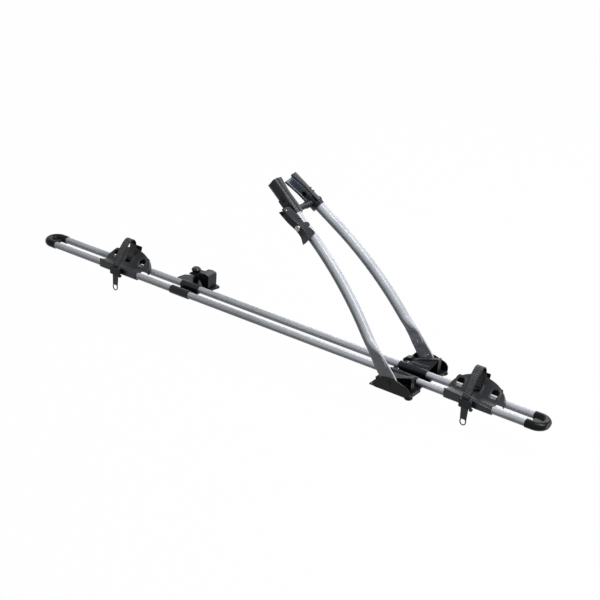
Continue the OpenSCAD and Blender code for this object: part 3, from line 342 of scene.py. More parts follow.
@dataclass
class Workshop:
    """Makes finished pieces, and each finish once."""

    made: dict[str, bpy.types.Material] = field(default_factory=dict)

    def finish(self, slot: str) -> bpy.types.Material:
        """Makes the material of a slot when it is first asked for.

        Args:
            slot: a key of the finishes.

        Returns:
            The material.
        """
        if slot not in self.made:
            self.made[slot] = FINISHES[slot].material()
        return self.made[slot]

    def piece(self, name: str, body: str, slot: str,
              shells: Sequence[tuple[np.ndarray, list[tuple[int, ...]]]],
              stands_for: Sequence[str] = (), crease_deg: float = 35.0,
              crest_highlight: np.ndarray | None = None,
              straight: np.ndarray | None = None) -> bpy.types.Object:
        """Joins shells into one piece that rides on a body.

        Args:
            name: the piece's name.
            body: the body that carries it.
            slot: the material slot of the record that it takes its finish from.
            shells: points in millimetres and faces of each closed shell.
            stands_for: nodes of the solids that it replaces.
            crease_deg: edges sharper than this stay sharp.
            crest_highlight: how much painted highlight each point gets, from 0 to 1, for a finish
                that reads it.
            straight: place of each point on the tube before it was bent, in millimetres.

        Returns:
            The object, with outward faces, at the origin.
        """
        points, faces, start = [], [], 0
        for p, f in shells:
            points.append(np.asarray(p, float).reshape(-1, 3))
            faces += [tuple(start + k for k in q) for q in f]
            start += len(points[-1])
        mesh = bpy.data.meshes.new(name)
        mesh.from_pydata((np.vstack(points) * MM).tolist(), [], faces)
        # The painted highlight of each point, kept as a mesh attribute
        if crest_highlight is not None:
            pale = mesh.attributes.new("crest_highlight", "FLOAT", "POINT")
            pale.data.foreach_set("value", np.asarray(crest_highlight, np.float32))
        if straight is not None:
            before = mesh.attributes.new("straight", "FLOAT_VECTOR", "POINT")
            before.data.foreach_set("vector", (straight * MM).astype(np.float32).reshape(-1))
        work = bmesh.new()
        work.from_mesh(mesh)
        bmesh.ops.remove_doubles(work, verts=work.verts, dist=1e-6)
        bmesh.ops.recalc_face_normals(work, faces=work.faces)
        work.to_mesh(mesh)
        work.free()
        mesh.polygons.foreach_set("use_smooth", np.ones(len(mesh.polygons), bool))
        mesh.set_sharp_from_angle(angle=math.radians(crease_deg))
        mesh.materials.append(self.finish(slot))
        thing = bpy.data.objects.new(name, mesh)
        bpy.context.scene.collection.objects.link(thing)
        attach(thing, body)
        if stands_for:
            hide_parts(*stands_for)
        log.info("%s: %d faces on %s", name, len(mesh.polygons), body)
        return thing


def catmull(points: np.ndarray, steps: int) -> np.ndarray:
    """A smooth curve through points.

    Args:
        points: rows of places.
        steps: points per span.

    Returns:
        Places by the cubic that passes each point with the slope between its two neighbours.
    """
    p = np.vstack([points[:1], points, points[-1:]])
    t = (np.arange(steps) / steps)[:, None, None]
    a, b, c, d = p[:-3], p[1:-2], p[2:-1], p[3:]
    rows = 0.5 * (2 * b + (c - a) * t + (2 * a - 5 * b + 4 * c - d) * t ** 2
                  + (3 * b - a - 3 * c + d) * t ** 3)
    return np.vstack([rows.transpose(1, 0, 2).reshape(-1, points.shape[1]), points[-1:]])


def turned(profile: np.ndarray, sides: int, middle: Sequence[float], axis: Sequence[float],
           flute: float = 0.0, flutes: int = 0) -> tuple[np.ndarray, list[tuple[int, ...]]]:
    """A turned shell: each point of a profile goes round an axis.

    Args:
        profile: rows of radius and height along the axis.
        sides: number of places round the axis.
        middle: foot of the axis.
        axis: its direction.
        flute: depth of waves round the rim, as a share of the radius.
        flutes: number of waves.

    Returns:
        Points, at middle + height * axis + radius * (1 - flute * cos(flutes * angle)) * direction,
        and faces.
    """
    w = np.asarray(axis, float) / np.linalg.norm(axis)
    u = np.cross(w, (0.0, 0.0, 1.0) if abs(w[2]) < 0.9 else (1.0, 0.0, 0.0))
    u /= np.linalg.norm(u)
    v = np.cross(w, u)
    angle = np.linspace(0, 2 * math.pi, sides, endpoint=False)
    spoke = np.outer(np.cos(angle), u) + np.outer(np.sin(angle), v)
    wave = 1 - flute * np.cos(flutes * angle)
    rows = (np.asarray(middle, float) + profile[:, 1, None, None] * w
            + profile[:, 0, None, None] * (wave[:, None] * spoke)[None])
    return rows.reshape(-1, 3), ring_faces(len(profile), sides)


def rounded_bar(path: np.ndarray, across: np.ndarray, half_w: float, half_t: float,
                sides: int = 12, power: float = 4.0) -> tuple[np.ndarray, list[tuple[int, ...]]]:
    """A bar with a rounded oblong section along a path.

    Args:
        path: rows of places.
        across: direction of the section's width, one for all rows or one each.
        half_w: half width.
        half_t: half thickness.
        sides: points round the section.
        power: roundness, where 2 is an ellipse and more is squarer.

    Returns:
        Points, where the section is the super ellipse |a|^power + |b|^power = 1, and faces.
    """
    along = np.gradient(path, axis=0)
    along /= np.linalg.norm(along, axis=1)[:, None]
    wide = np.broadcast_to(np.asarray(across, float), path.shape)
    wide = wide / np.linalg.norm(wide, axis=1)[:, None]
    thick = np.cross(along, wide)
    thick /= np.linalg.norm(thick, axis=1)[:, None]
    angle = np.linspace(0, 2 * math.pi, sides, endpoint=False)
    a = np.sign(np.cos(angle)) * np.abs(np.cos(angle)) ** (2 / power) * half_w
    b = np.sign(np.sin(angle)) * np.abs(np.sin(angle)) ** (2 / power) * half_t
    rows = path[:, None] + a[None, :, None] * wide[:, None] + b[None, :, None] * thick[:, None]
    return rows.reshape(-1, 3), ring_faces(len(path), sides)


# Arms
@dataclass
class ArmPath:
    """Course of an arm's tube: an upright foot, a straight part that leans in, a long bend."""

    foot: tuple[float, float, float] = (-8.5, 82.2, 28.9)
    tilt: float = 51.5
    head_tilt: float = 35.6
    lean: float = 5.9
    upright: float = 60.0
    bend_from: float = 130.0
    bend_r: float = 862.0

    def frames(self, s: np.ndarray, side: Side) -> tuple[np.ndarray, np.ndarray, np.ndarray,
                                                         np.ndarray]:
        """Places and directions along the tube.

        Args:
            s: distances from the foot.
            side: near or far arm.

        Returns:
            Places, and unit directions to the front, outwards and up the arm.  In its own plane
            the tube runs straight, then along an arc of the bend radius; above the upright part
            that plane is turned by the lean about the line between the two tilts.
        """
        s = np.atleast_1d(np.asarray(s, float))
        tilt, lean = math.radians(self.tilt), math.radians(self.lean)
        h = np.clip(tilt - np.maximum(0, s - self.bend_from) / self.bend_r,
                    math.radians(self.head_tilt), None)
        bend_len = self.bend_r * (tilt - math.radians(self.head_tilt))
        run = np.minimum(s, self.bend_from) - self.upright
        rest = np.maximum(0, s - self.bend_from - bend_len)
        zero = np.zeros_like(s)
        flat = np.stack([self.bend_r * (np.sin(h) - math.sin(tilt)) - rest * np.cos(h)
                         - run * math.cos(tilt), zero,
                         self.bend_r * (np.cos(h) - math.cos(tilt)) + rest * np.sin(h)
                         + run * math.sin(tilt)], -1)
        front = np.stack([np.sin(h), zero, np.cos(h)], -1)
        out = np.stack([zero, zero + 1, zero], -1)
        up = np.stack([-np.cos(h), zero, np.sin(h)], -1)
        mid = math.radians((self.tilt + self.head_tilt) / 2)
        k = np.array([math.sin(mid), 0.0, math.cos(mid)])
        amount = np.where(s < self.upright, 0.0, lean)[:, None]

        def leaned(v: np.ndarray) -> np.ndarray:
            """Leans a direction or place about k.

            Args:
                v: rows of directions or places.

            Returns:
                The rows turned by the amount: v cos + (k x v) sin + k (k.v) (1 - cos).
            """
            return (v * np.cos(amount) + np.cross(k, v) * np.sin(amount)
                    + k * (v @ k)[:, None] * (1 - np.cos(amount)))

        kink = np.array(self.foot) + self.upright * np.array([-math.cos(tilt), 0, math.sin(tilt)])
        mirror = np.array([1.0, side.value, 1.0])
        return tuple(v * mirror for v in (kink + leaned(flat), leaned(front), leaned(out),
                                          leaned(up)))

    def point(self, s: float, x: float, y: float, side: Side) -> np.ndarray:
        """Finds one place beside the axis of the arm.

        Args:
            s: distance from the foot.
            x: distance from the axis to the front.
            y: distance from the axis outwards.
            side: near or far arm.

        Returns:
            The place.
        """
        p, fx, fy, _ = self.frames(np.array([s]), side)
        return p[0] + x * fx[0] + y * fy[0]


@dataclass
class Arms:
    """The two arm tubes with their flattened feet."""

    path: ArmPath
    radius: float = 12.5
    flat_half: float = 2.25
    flat_in: float = 0.75
    pivot_s: float = -7.4
    foot_r: float = 17.2
    foot_reach: tuple[float, float] = (20.8, 17.3)
    reach: tuple[tuple[float, float, float], ...] = (
        (4.0, 20.8, 17.0), (38.0, 18.6, 16.3), (55.0, 17.2, 14.6), (78.0, 14.4, 13.2),
        (101.0, 12.5, 12.5), (130.0, 12.5, 12.5))
    toe_power: float = 2.2
    end: float = 456.0
    swage: tuple[float, float] = (50.0, 101.0)
    flat_power: float = 6.0
    boss: tuple[float, float, float] = (2.5, 37.0, 14.4)
    boss_h: float = 1.1
    boss_edge: float = 2.5
    ring_at: tuple[float, float] = (37.3, -1.3)
    ring_sunk: float = 0.3

    def tube(self, side: Side) -> tuple[np.ndarray, list[tuple[int, ...]], np.ndarray]:
        """One arm from its rounded foot to its upper end.

        The outline is rounded off below the pivot, then follows the rows of reach: distance up
        the arm, reach to the front and to the back.  The section is a super ellipse whose power
        falls from that of a flat oblong to 2, a round tube, along a smooth step.  A low boss with
        a round lower edge stands on the flat faces where the tube begins to be pressed flat: its
        height is a smooth step of the distance inside a circle that is drawn out up the arm.

        Args:
            side: near or far arm.

        Returns:
            Points, faces and the place of each point before bending.
        """
        low = self.pivot_s - self.foot_r
        s = np.concatenate([self.pivot_s - self.foot_r * np.cos(np.linspace(0.06, math.pi / 2, 14)),
                            np.linspace(self.pivot_s + 2, 110, 96), np.linspace(116, self.end, 64)])
        drop = np.clip((self.pivot_s - s) / self.foot_r, 0, 1)
        reach = np.array([(low, *self.foot_reach), (self.pivot_s, *self.foot_reach),
                          *self.reach])
        right = np.interp(s, reach[:, 0], reach[:, 1]) * (
            1 - drop ** self.toe_power) ** (1 / self.toe_power)
        left = np.interp(s, reach[:, 0], reach[:, 2]) * np.sqrt(1 - drop ** 2)
        e = np.clip((s - self.swage[0]) / (self.swage[1] - self.swage[0]), 0, 1)
        e = e * e * (3 - 2 * e)
        half_w, mid = (left + right) / 2, (right - left) / 2
        angle = np.linspace(0, 2 * math.pi, 72, endpoint=False)
        power = (2 + self.flat_power * (1 - e) ** 4)[:, None]
        a = np.sign(np.cos(angle)) * np.abs(np.cos(angle)) ** (2 / power)
        b = np.sign(np.sin(angle)) * np.abs(np.sin(angle)) ** (2 / power)
        half_t = self.flat_half + (self.radius - self.flat_half) * e
        x = mid[:, None] + half_w[:, None] * a
        away = np.hypot(x - self.boss[0], np.minimum(s[:, None] - self.boss[1], 0))
        dome = np.clip((self.boss[2] - away) / self.boss_edge, 0, 1)
        dome = self.boss_h * dome * dome * (3 - 2 * dome) * (1 - e[:, None])
        y = (half_t[:, None] * b + np.sign(b) * dome * np.clip(np.abs(b) * 3 - 2, 0, 1)
             - (self.flat_in * (1 - e))[:, None])
        p, fx, fy, _ = self.path.frames(s, side)
        rows = p[:, None] + x[..., None] * fx[:, None] + y[..., None] * fy[:, None]
        flat = np.stack([np.broadcast_to(s[:, None], x.shape), x, y], -1)
        return rows.reshape(-1, 3), ring_faces(len(s), len(angle)), flat.reshape(-1, 3)

    def build(self, shop: Workshop) -> None:
        """Makes both arms, the rings on their feet and black discs of painted shade in their small
        holes.

        Args:
            shop: makes and keeps the pieces.
        """
        for side, body, node in ((Side.NEAR, "near_arm", "arm_near"), (Side.FAR, "far_arm",
                                                                      "arm_far")):
            points, faces, straight = self.tube(side)
            shop.piece(f"tube_{node}", body, "arm_alu", [(points, faces)], [node],
                       straight=straight)
            face = -self.flat_in - self.flat_half - self.boss_h
            middle = self.path.point(*self.ring_at, face + self.ring_sunk, side)
            inwards = -self.path.frames(np.array([0.0]), side)[2][0]
            rim = np.array([[2.2, 0.05], [2.2, 0.6], [2.6, 0.95], [3.6, 0.95], [4.1, 0.5],
                            [4.1, 0.05]])
            shop.piece(f"foot_ring_{node}", body, "arm_alu", [turned(rim, 32, middle, inwards)])
            # Black disc in the hole: painted shade
            plug = np.array([[0.1, 0.1], [0.1, 0.42], [2.3, 0.42], [2.3, 0.1]])
            shop.piece(f"foot_hole_shade_{node}", body, "black_rubber",
                       [turned(plug, 24, middle, inwards)])


# Straps and buckles
@dataclass
class WheelStrap:
    """A moulded wheel strap: teeth up its outer face, smooth crown, pulled through, ring end."""

    tray_x: float
    body: str
    node: str
    width: float = 21.0
    thick: float = 2.2
    pitch: float = 3.9
    tooth: float = 0.9
    scale_w: float = 5.2
    slant: float = 1.9
    border_h: float = 0.495
    field_share: float = 0.86
    smooth_from: float = 118.0
    smooth_len: float = 12.0
    end_teeth: tuple[float, float] = (44.0, 12.0)
    fade: float = 4.0
    loop: float = 89.0
    strap_y: float = 40.35
    buckle_z: float = 8.075
    buckle_h: float = 21.0
    shares: tuple[tuple[float, float], ...] = (
        (-0.4, 0.4), (-0.285, 0.59), (-0.145, 0.77), (-0.015, 0.905), (0.1, 0.975),
        (0.215, 0.955), (0.29, 0.84), (0.29, 0.68), (0.23, 0.52), (0.165, 0.395),
        (0.22, 0.325), (0.37, 0.362), (0.488, 0.44), (0.55, 0.55), (0.565, 0.64))
    tail_share: float = 0.52
    tail_low: float = 15.5
    tail_taper: tuple[float, float] = (0.78, 0.93)
    cross_mm: float = 3.4
    cross_h: float = 0.25
    ring_half: tuple[float, float] = (7.2, 8.4)
    ring_up: float = 9.6
    ring_bar: tuple[float, float] = (1.4, 1.1)

    def course(self) -> np.ndarray:
        """Path of the strap's middle, up from the buckle, over and through the wing.

        Returns:
            Rows of Y and Z on a smooth curve through the shares of the loop's size.
        """
        low = [(-self.strap_y, self.buckle_z), (-self.strap_y, self.buckle_z + self.buckle_h)]
        rest = [(y * self.loop, z * self.loop + 2.0) for y, z in self.shares]
        return catmull(np.array(low + rest), 26)

    def band(self) -> tuple[np.ndarray, list[tuple[int, ...]], np.ndarray]:
        """The toothed band.

        Height of the outer face over the middle is half the thickness plus the tooth height times
        a saw of the run plus a zigzag across the width, so that the teeth look like scales; they
        fade out on the crown and start again on the end.

        Returns:
            Points, faces and how much painted highlight each point gets on the tips of the teeth.
        """
        yz = self.course()
        along = np.gradient(yz, axis=0)
        along /= np.linalg.norm(along, axis=1)[:, None]
        normal = np.stack([-along[:, 1], along[:, 0]], -1)
        run = np.concatenate([[0], np.cumsum(np.linalg.norm(np.diff(yz, axis=0), axis=1))])
        half = self.width / 2
        x = half * np.sin(np.linspace(-math.pi / 2, math.pi / 2, 37))
        zigzag = np.abs(2 * (x / self.scale_w - np.floor(x / self.scale_w + 0.5)))
        saw = (run[:, None] + self.slant * zigzag[None]) / self.pitch
        wave = (saw - np.floor(saw)) ** 1.5
        inside = np.clip((half * self.field_share - np.abs(x)) / 1.2, 0, 1)[None]
        left = run[-1] - run
        rising = (np.clip((run - self.buckle_h - 3) / self.fade, 0, 1)
                  * np.clip((self.smooth_from - run) / self.smooth_len, 0, 1))
        ending = (np.clip((self.end_teeth[0] - left) / self.fade, 0, 1)
                  * np.clip((left - self.end_teeth[1]) / self.fade, 0, 1))
        on = rising + ending
        border = self.border_h * (1 - inside) * (np.abs(x) < half)[None]
        outer = self.thick / 2 + self.tooth * wave * on[:, None] * inside + border
        edge = np.clip((half - np.abs(x)) / 0.7, 0.25, 1)[None]
        top = outer * edge
        low = -self.thick / 2 * edge * np.ones_like(top)
        rows = []
        for level, order in ((top, slice(None)), (low, slice(None, None, -1))):
            yz_rows = yz[:, None] + level[..., None] * normal[:, None]
            block = np.concatenate([np.broadcast_to(x + self.tray_x, level.shape)[..., None],
                                    yz_rows], -1)
            rows.append(block[:, order])
        grid = np.concatenate(rows, 1)
        # Painted highlight on the tips of the teeth
        painted_highlight = np.clip((wave - 0.5) * 5, 0, 1) * on[:, None] * inside
        pale = np.concatenate([painted_highlight, np.zeros_like(painted_highlight)], 1)
        return grid.reshape(-1, 3), ring_faces(len(yz), grid.shape[1]), pale.reshape(-1)

    def tail(self) -> list[tuple[np.ndarray, list[tuple[int, ...]], np.ndarray]]:
        """The flat tail under the buckle with a crossed relief, and its ring end.

        Returns:
            Points, faces and paleness of both shells.  The relief is the product of two waves that
            run along the two diagonals.
        """
        z0 = self.buckle_z - self.loop * self.tail_share
        half = self.width / 2
        z = np.linspace(self.buckle_z + 1, z0 + self.tail_low, 150)
        w = np.interp(z, [z0 + self.tail_low, self.buckle_z],
                      [half * self.tail_taper[0], half * self.tail_taper[1]])
        t = np.sin(np.linspace(-math.pi / 2, math.pi / 2, 25))
        x = w[:, None] * t[None]
        weave = (self.cross_h * np.cos(math.pi * (x + z[:, None]) / self.cross_mm)
                 * np.cos(math.pi * (x - z[:, None]) / self.cross_mm))
        inner = np.clip((1 - np.abs(t)) / 0.12, 0, 1)[None]
        depth = self.thick / 2 * (0.35 + 0.65 * inner)
        out = -self.strap_y - (depth + weave * inner)
        back = -self.strap_y + depth * np.ones_like(x)
        zz = np.broadcast_to(z[:, None], x.shape)
        front_rows = np.stack([x + self.tray_x, out, zz], -1)
        back_rows = np.stack([x + self.tray_x, back, zz], -1)[:, ::-1]
        grid = np.concatenate([front_rows, back_rows], 1)
        angle = np.linspace(0, 2 * math.pi, 57)
        ring = np.stack([self.tray_x + self.ring_half[0] * np.cos(angle),
                         np.full(57, -self.strap_y),
                         z0 + self.ring_up + self.ring_half[1] * np.sin(angle)], -1)
        out_dir = np.stack([np.cos(angle), np.zeros(57), np.sin(angle)], -1)
        loop, _ = rounded_bar(ring, out_dir, *self.ring_bar, 12, 3.0)
        loop = loop.reshape(57, 12, 3)
        loop[-1] = loop[0]
        # Painted highlight on the ridges and hollows of the crossed relief
        painted_highlight = 0.55 * np.clip(np.abs(weave) * 8 - 0.9, 0, 1) * inner
        pale = np.concatenate([painted_highlight, np.zeros_like(painted_highlight)], 1).reshape(-1)
        return [(grid.reshape(-1, 3), ring_faces(len(z), grid.shape[1]), pale),
                (loop.reshape(-1, 3), ring_faces(57, 12, caps=False), np.zeros(57 * 12))]

    def build(self, shop: Workshop) -> None:
        """Makes the strap in place of its solid.

        Args:
            shop: makes and keeps the pieces.
        """
        shells = [self.band()] + self.tail()
        shop.piece(f"toothed_{self.node}", self.body, "strap_plastic",
                   [(points, faces) for points, faces, _ in shells], [self.node], 50.0,
                   np.concatenate([painted_highlight for _, _, painted_highlight in shells]))


# Trays
@dataclass
class WingTrim:
    """Rounded lips, and pocket walls of black rubber that are painted shade, at the three arched
    holes of a tray's wing.

    Places on the wing are given along X, up the slope and square to it.
    """

    tray_x: float
    body: str
    wing_z: float = 22.0
    slope: float = 42.0
    pitch: float = 44.0
    hole_w: float = 26.0
    hole_low: float = 5.9
    hole_h: float = 27.0
    wall: float = 3.0
    lip_in: float = 1.4
    lip_half: tuple[float, float] = (3.2, 2.1)
    pocket_half: float = 15.5
    pocket_low: float = 19.0
    pocket_rise: float = 16.5
    pocket_deep: float = 7.0
    pocket_gap: float = 1.2
    pocket_shift: float = 0.6
    pocket_wall: float = 1.4

    def on_wing(self, x: np.ndarray, v: np.ndarray, n: np.ndarray) -> np.ndarray:
        """Turns places on the wing into places in the frame.

        Args:
            x: places along X from the tray's middle.
            v: places up the slope.
            n: places square to the slope, outwards.

        Returns:
            Rows of X, Y and Z: Y = v cos - n sin and Z = v sin + n cos of the slope.
        """
        c, s = math.cos(math.radians(self.slope)), math.sin(math.radians(self.slope))
        return np.stack([x + self.tray_x, v * c - n * s, self.wing_z + v * s + n * c], -1)

    def lip(self, middle: float) -> tuple[np.ndarray, list[tuple[int, ...]]]:
        """A rounded bead along the arch of one hole: two straight sides and a half circle.

        Args:
            middle: the hole's middle along X from the tray's middle.

        Returns:
            Points and faces.
        """
        r = self.hole_w / 2 - self.lip_in
        top = self.hole_low + self.hole_h - self.hole_w / 2
        angle = np.linspace(math.pi, 0, 25)
        side = np.linspace(self.hole_low, top, 6)[:-1]
        x = np.concatenate([np.full(5, -r), r * np.cos(angle), np.full(5, r)]) + middle
        v = np.concatenate([side, top + r * np.sin(angle), side[::-1]])
        away = np.stack([x - middle, np.maximum(v - top, 0)], -1)
        path = self.on_wing(x, v, np.full(35, self.wall / 2))
        c, s = math.cos(math.radians(self.slope)), math.sin(math.radians(self.slope))
        across = np.stack([away[:, 0], away[:, 1] * c, away[:, 1] * s], -1)
        return rounded_bar(path, across, *self.lip_half, 14, 3.0)

    def pocket(self, middle: float) -> tuple[np.ndarray, list[tuple[int, ...]]]:
        """A curved wall behind the upper part of one hole, black as painted shade inside the hole.

        Args:
            middle: the hole's middle along X from the tray's middle.

        Returns:
            Points and faces.  From its upper edge at the wing the wall goes down and back along a
            quarter wave, and it is shifted sideways with its depth.
        """
        b = np.linspace(0, 1, 12)[:, None]
        a = np.linspace(-1, 1, 15)[None]
        deep = self.pocket_deep * np.cos(b * math.pi / 2) * np.sqrt(1 - 0.5 * a ** 2)
        n = -self.pocket_gap - deep
        narrow = np.sqrt(np.clip(1 - 0.55 * b ** 2, 0, 1))
        x = middle + self.pocket_half * a * narrow - self.pocket_shift * deep
        v = self.pocket_low + self.pocket_rise * np.sin(b * math.pi / 2) + 0 * a
        front, back = self.on_wing(x, v, n), self.on_wing(x, v, n - self.pocket_wall)
        grid = np.concatenate([front, back[:, ::-1]], 1)
        return grid.reshape(-1, 3), ring_faces(12, 30)

    def build(self, shop: Workshop) -> None:
        """Makes the lips, and the pockets of painted shade, of the three holes.

        Args:
            shop: makes and keeps the pieces.
        """
        middles = [k * self.pitch for k in (-1, 0, 1)]
        shop.piece(f"hole_lips_{self.body}", self.body, "lit_tray_nylon",
                   [self.lip(m) for m in middles], crease_deg=60.0)
        # Black rubber pockets: painted shade in the upper part of the holes
        shop.piece(f"hole_shade_pockets_{self.body}", self.body, "black_rubber",
                   [self.pocket(m) for m in middles], crease_deg=60.0)


# Carrier
@dataclass
class CarrierTrim:
    """Beads of painted highlight on the fans of the cheeks and small screw heads near the bracket.
    """

    upper: tuple[tuple[float, float, float], ...] = (
        (-44.0, 54.0, 13.6), (-26.0, 58.0, 20.4), (-4.4, 57.8, 29.3), (18.4, 58.3, 36.9),
        (43.4, 58.3, 45.1))
    lower: tuple[tuple[float, float, float], ...] = (
        (-41.0, 52.0, 14.4), (-18.4, 41.4, 22.4), (5.5, 37.0, 26.2), (31.0, 36.6, 29.3))
    bead_half: tuple[float, float] = (0.75, 0.6)
    stop_at: tuple[float, float, float] = (1.2, 79.3, 33.1)
    sleeve_at: tuple[float, float, float] = (-18.1, 22.0, 30.6)

    def build(self, shop: Workshop) -> None:
        """Makes two pale beads on each cheek, a painted highlight along the ribs, the stop screw's
        head and two small screw heads.

        Args:
            shop: makes and keeps the pieces.
        """
        for side in Side:
            mirror = np.array([1.0, side.value, 1.0])
            # Pale beads: painted highlight along the upper and lower rib of each cheek
            bars = [rounded_bar(catmull(np.array(line), 8) * mirror, (0.0, 1.0, 0.0),
                                *self.bead_half, 10, 2.2) for line in (self.upper, self.lower)]
            shop.piece(f"cheek_highlight_beads_{side.name.lower()}", "carrier", "rib_highlight_paint", bars,
                       crease_deg=70.0)
        head = np.array([[0.05, 0.0], [2.1, 0.0], [2.1, 0.5], [1.5, 1.2], [0.05, 1.5]])
        shop.piece("stop_screw", "far_arm", "zinc_steel",
                   [turned(head, 24, self.stop_at, (0.0, -1.0, 0.0))])
        x, y, z = self.sleeve_at
        shop.piece("sleeve_screws", "carrier", "zinc_steel",
                   [turned(head * (0.8, 0.7), 20, (x, side.value * y, z), (0.0, 0.0, 1.0))
                    for side in Side])


# Head
@dataclass
class Head:
    """Small parts on the clamping head: round the lock, on the far pad, in the near jaw."""

    path: ArmPath
    arm_len: float = 456.0
    jaw_grip: float = 26.0
    lever_rise: float = 25.0
    lock_down: float = 54.0
    lock_r: float = 6.1
    lock_seat: float = 27.2
    eyelet: tuple[float, float, float] = (-352.2, 38.2, 349.2)
    eyelet_axis: tuple[float, float, float] = (0.55, -0.40, 0.73)
    jaw_hole: tuple[float, float, float] = (-348.3, -48.7, 357.4)
    dash_row: tuple[tuple[float, float, float], ...] = (
        (-382.7, 36.1, 370.1), (-362.4, 34.6, 355.0))
    dashes: int = 5
    dash_half: tuple[float, float, float] = (1.5, 0.6, 0.5)
    pad_normal: tuple[float, float, float] = (0.58, -0.15, 0.8)

    def lock_ring(self, shop: Workshop) -> None:
        """Makes a bright stepped ring round the lock, on the lever.

        Args:
            shop: makes and keeps the pieces.
        """
        s = self.arm_len - self.jaw_grip + self.lever_rise
        p, _, out, up = self.path.frames(np.array([s]), Side.NEAR)
        middle = p[0] - self.lock_down * up[0] + self.lock_seat * out[0]
        rim = np.array([[0.15, -0.6], [0.15, 0.75], [0.5, 1.05], [1.2, 0.9], [1.5, 0.45],
                        [1.5, -0.6]]) + (self.lock_r, 0.0)
        shop.piece("lock_surround", "grip_lever", "lock_chrome", [turned(rim, 48, middle, out[0])])

    def pad_parts(self, shop: Workshop) -> None:
        """Makes raised dashes on the far pad, and two black pieces of painted shade: a dished
        eyelet in the far pad's hole and a plug in the near jaw's hole.

        Args:
            shop: makes and keeps the pieces.
        """
        # Dished eyelet of black rubber: painted shade in the far pad's hole
        dish = np.array([[0.05, -1.5], [4.4, -1.2], [5.0, 0.8], [5.8, 0.6], [4.8, -3.0],
                         [0.05, -3.0]])
        shop.piece("pad_hole_shade", "far_arm", "black_rubber",
                   [turned(dish, 40, self.eyelet, self.eyelet_axis)])
        # Black plug: painted shade in the near jaw's hole
        plug = np.array([[0.05, -0.4], [3.9, -0.4], [3.9, 0.3], [3.0, 0.5], [0.05, 0.2]])
        shop.piece("jaw_hole_shade_plug", "near_arm", "black_rubber",
                   [turned(plug, 32, self.jaw_hole, (0.0, -0.99, 0.14))])
        ends = np.array(self.dash_row)
        step = (ends[1] - ends[0]) / (self.dashes - 1)
        along = step / np.linalg.norm(step)
        half, half_w, half_t = self.dash_half
        span = np.linspace(-half, half, 5)[:, None] * along
        bars = [rounded_bar(ends[0] + k * step + span, np.cross(along, self.pad_normal),
                            half_w, half_t, 10, 3.0) for k in range(self.dashes)]
        shop.piece("pad_dashes", "far_arm", "pale_pad", bars, crease_deg=60.0)

    def build(self, shop: Workshop) -> None:
        """Makes the parts of the head.

        Args:
            shop: makes and keeps the pieces.
        """
        self.lock_ring(shop)
        self.pad_parts(shop)


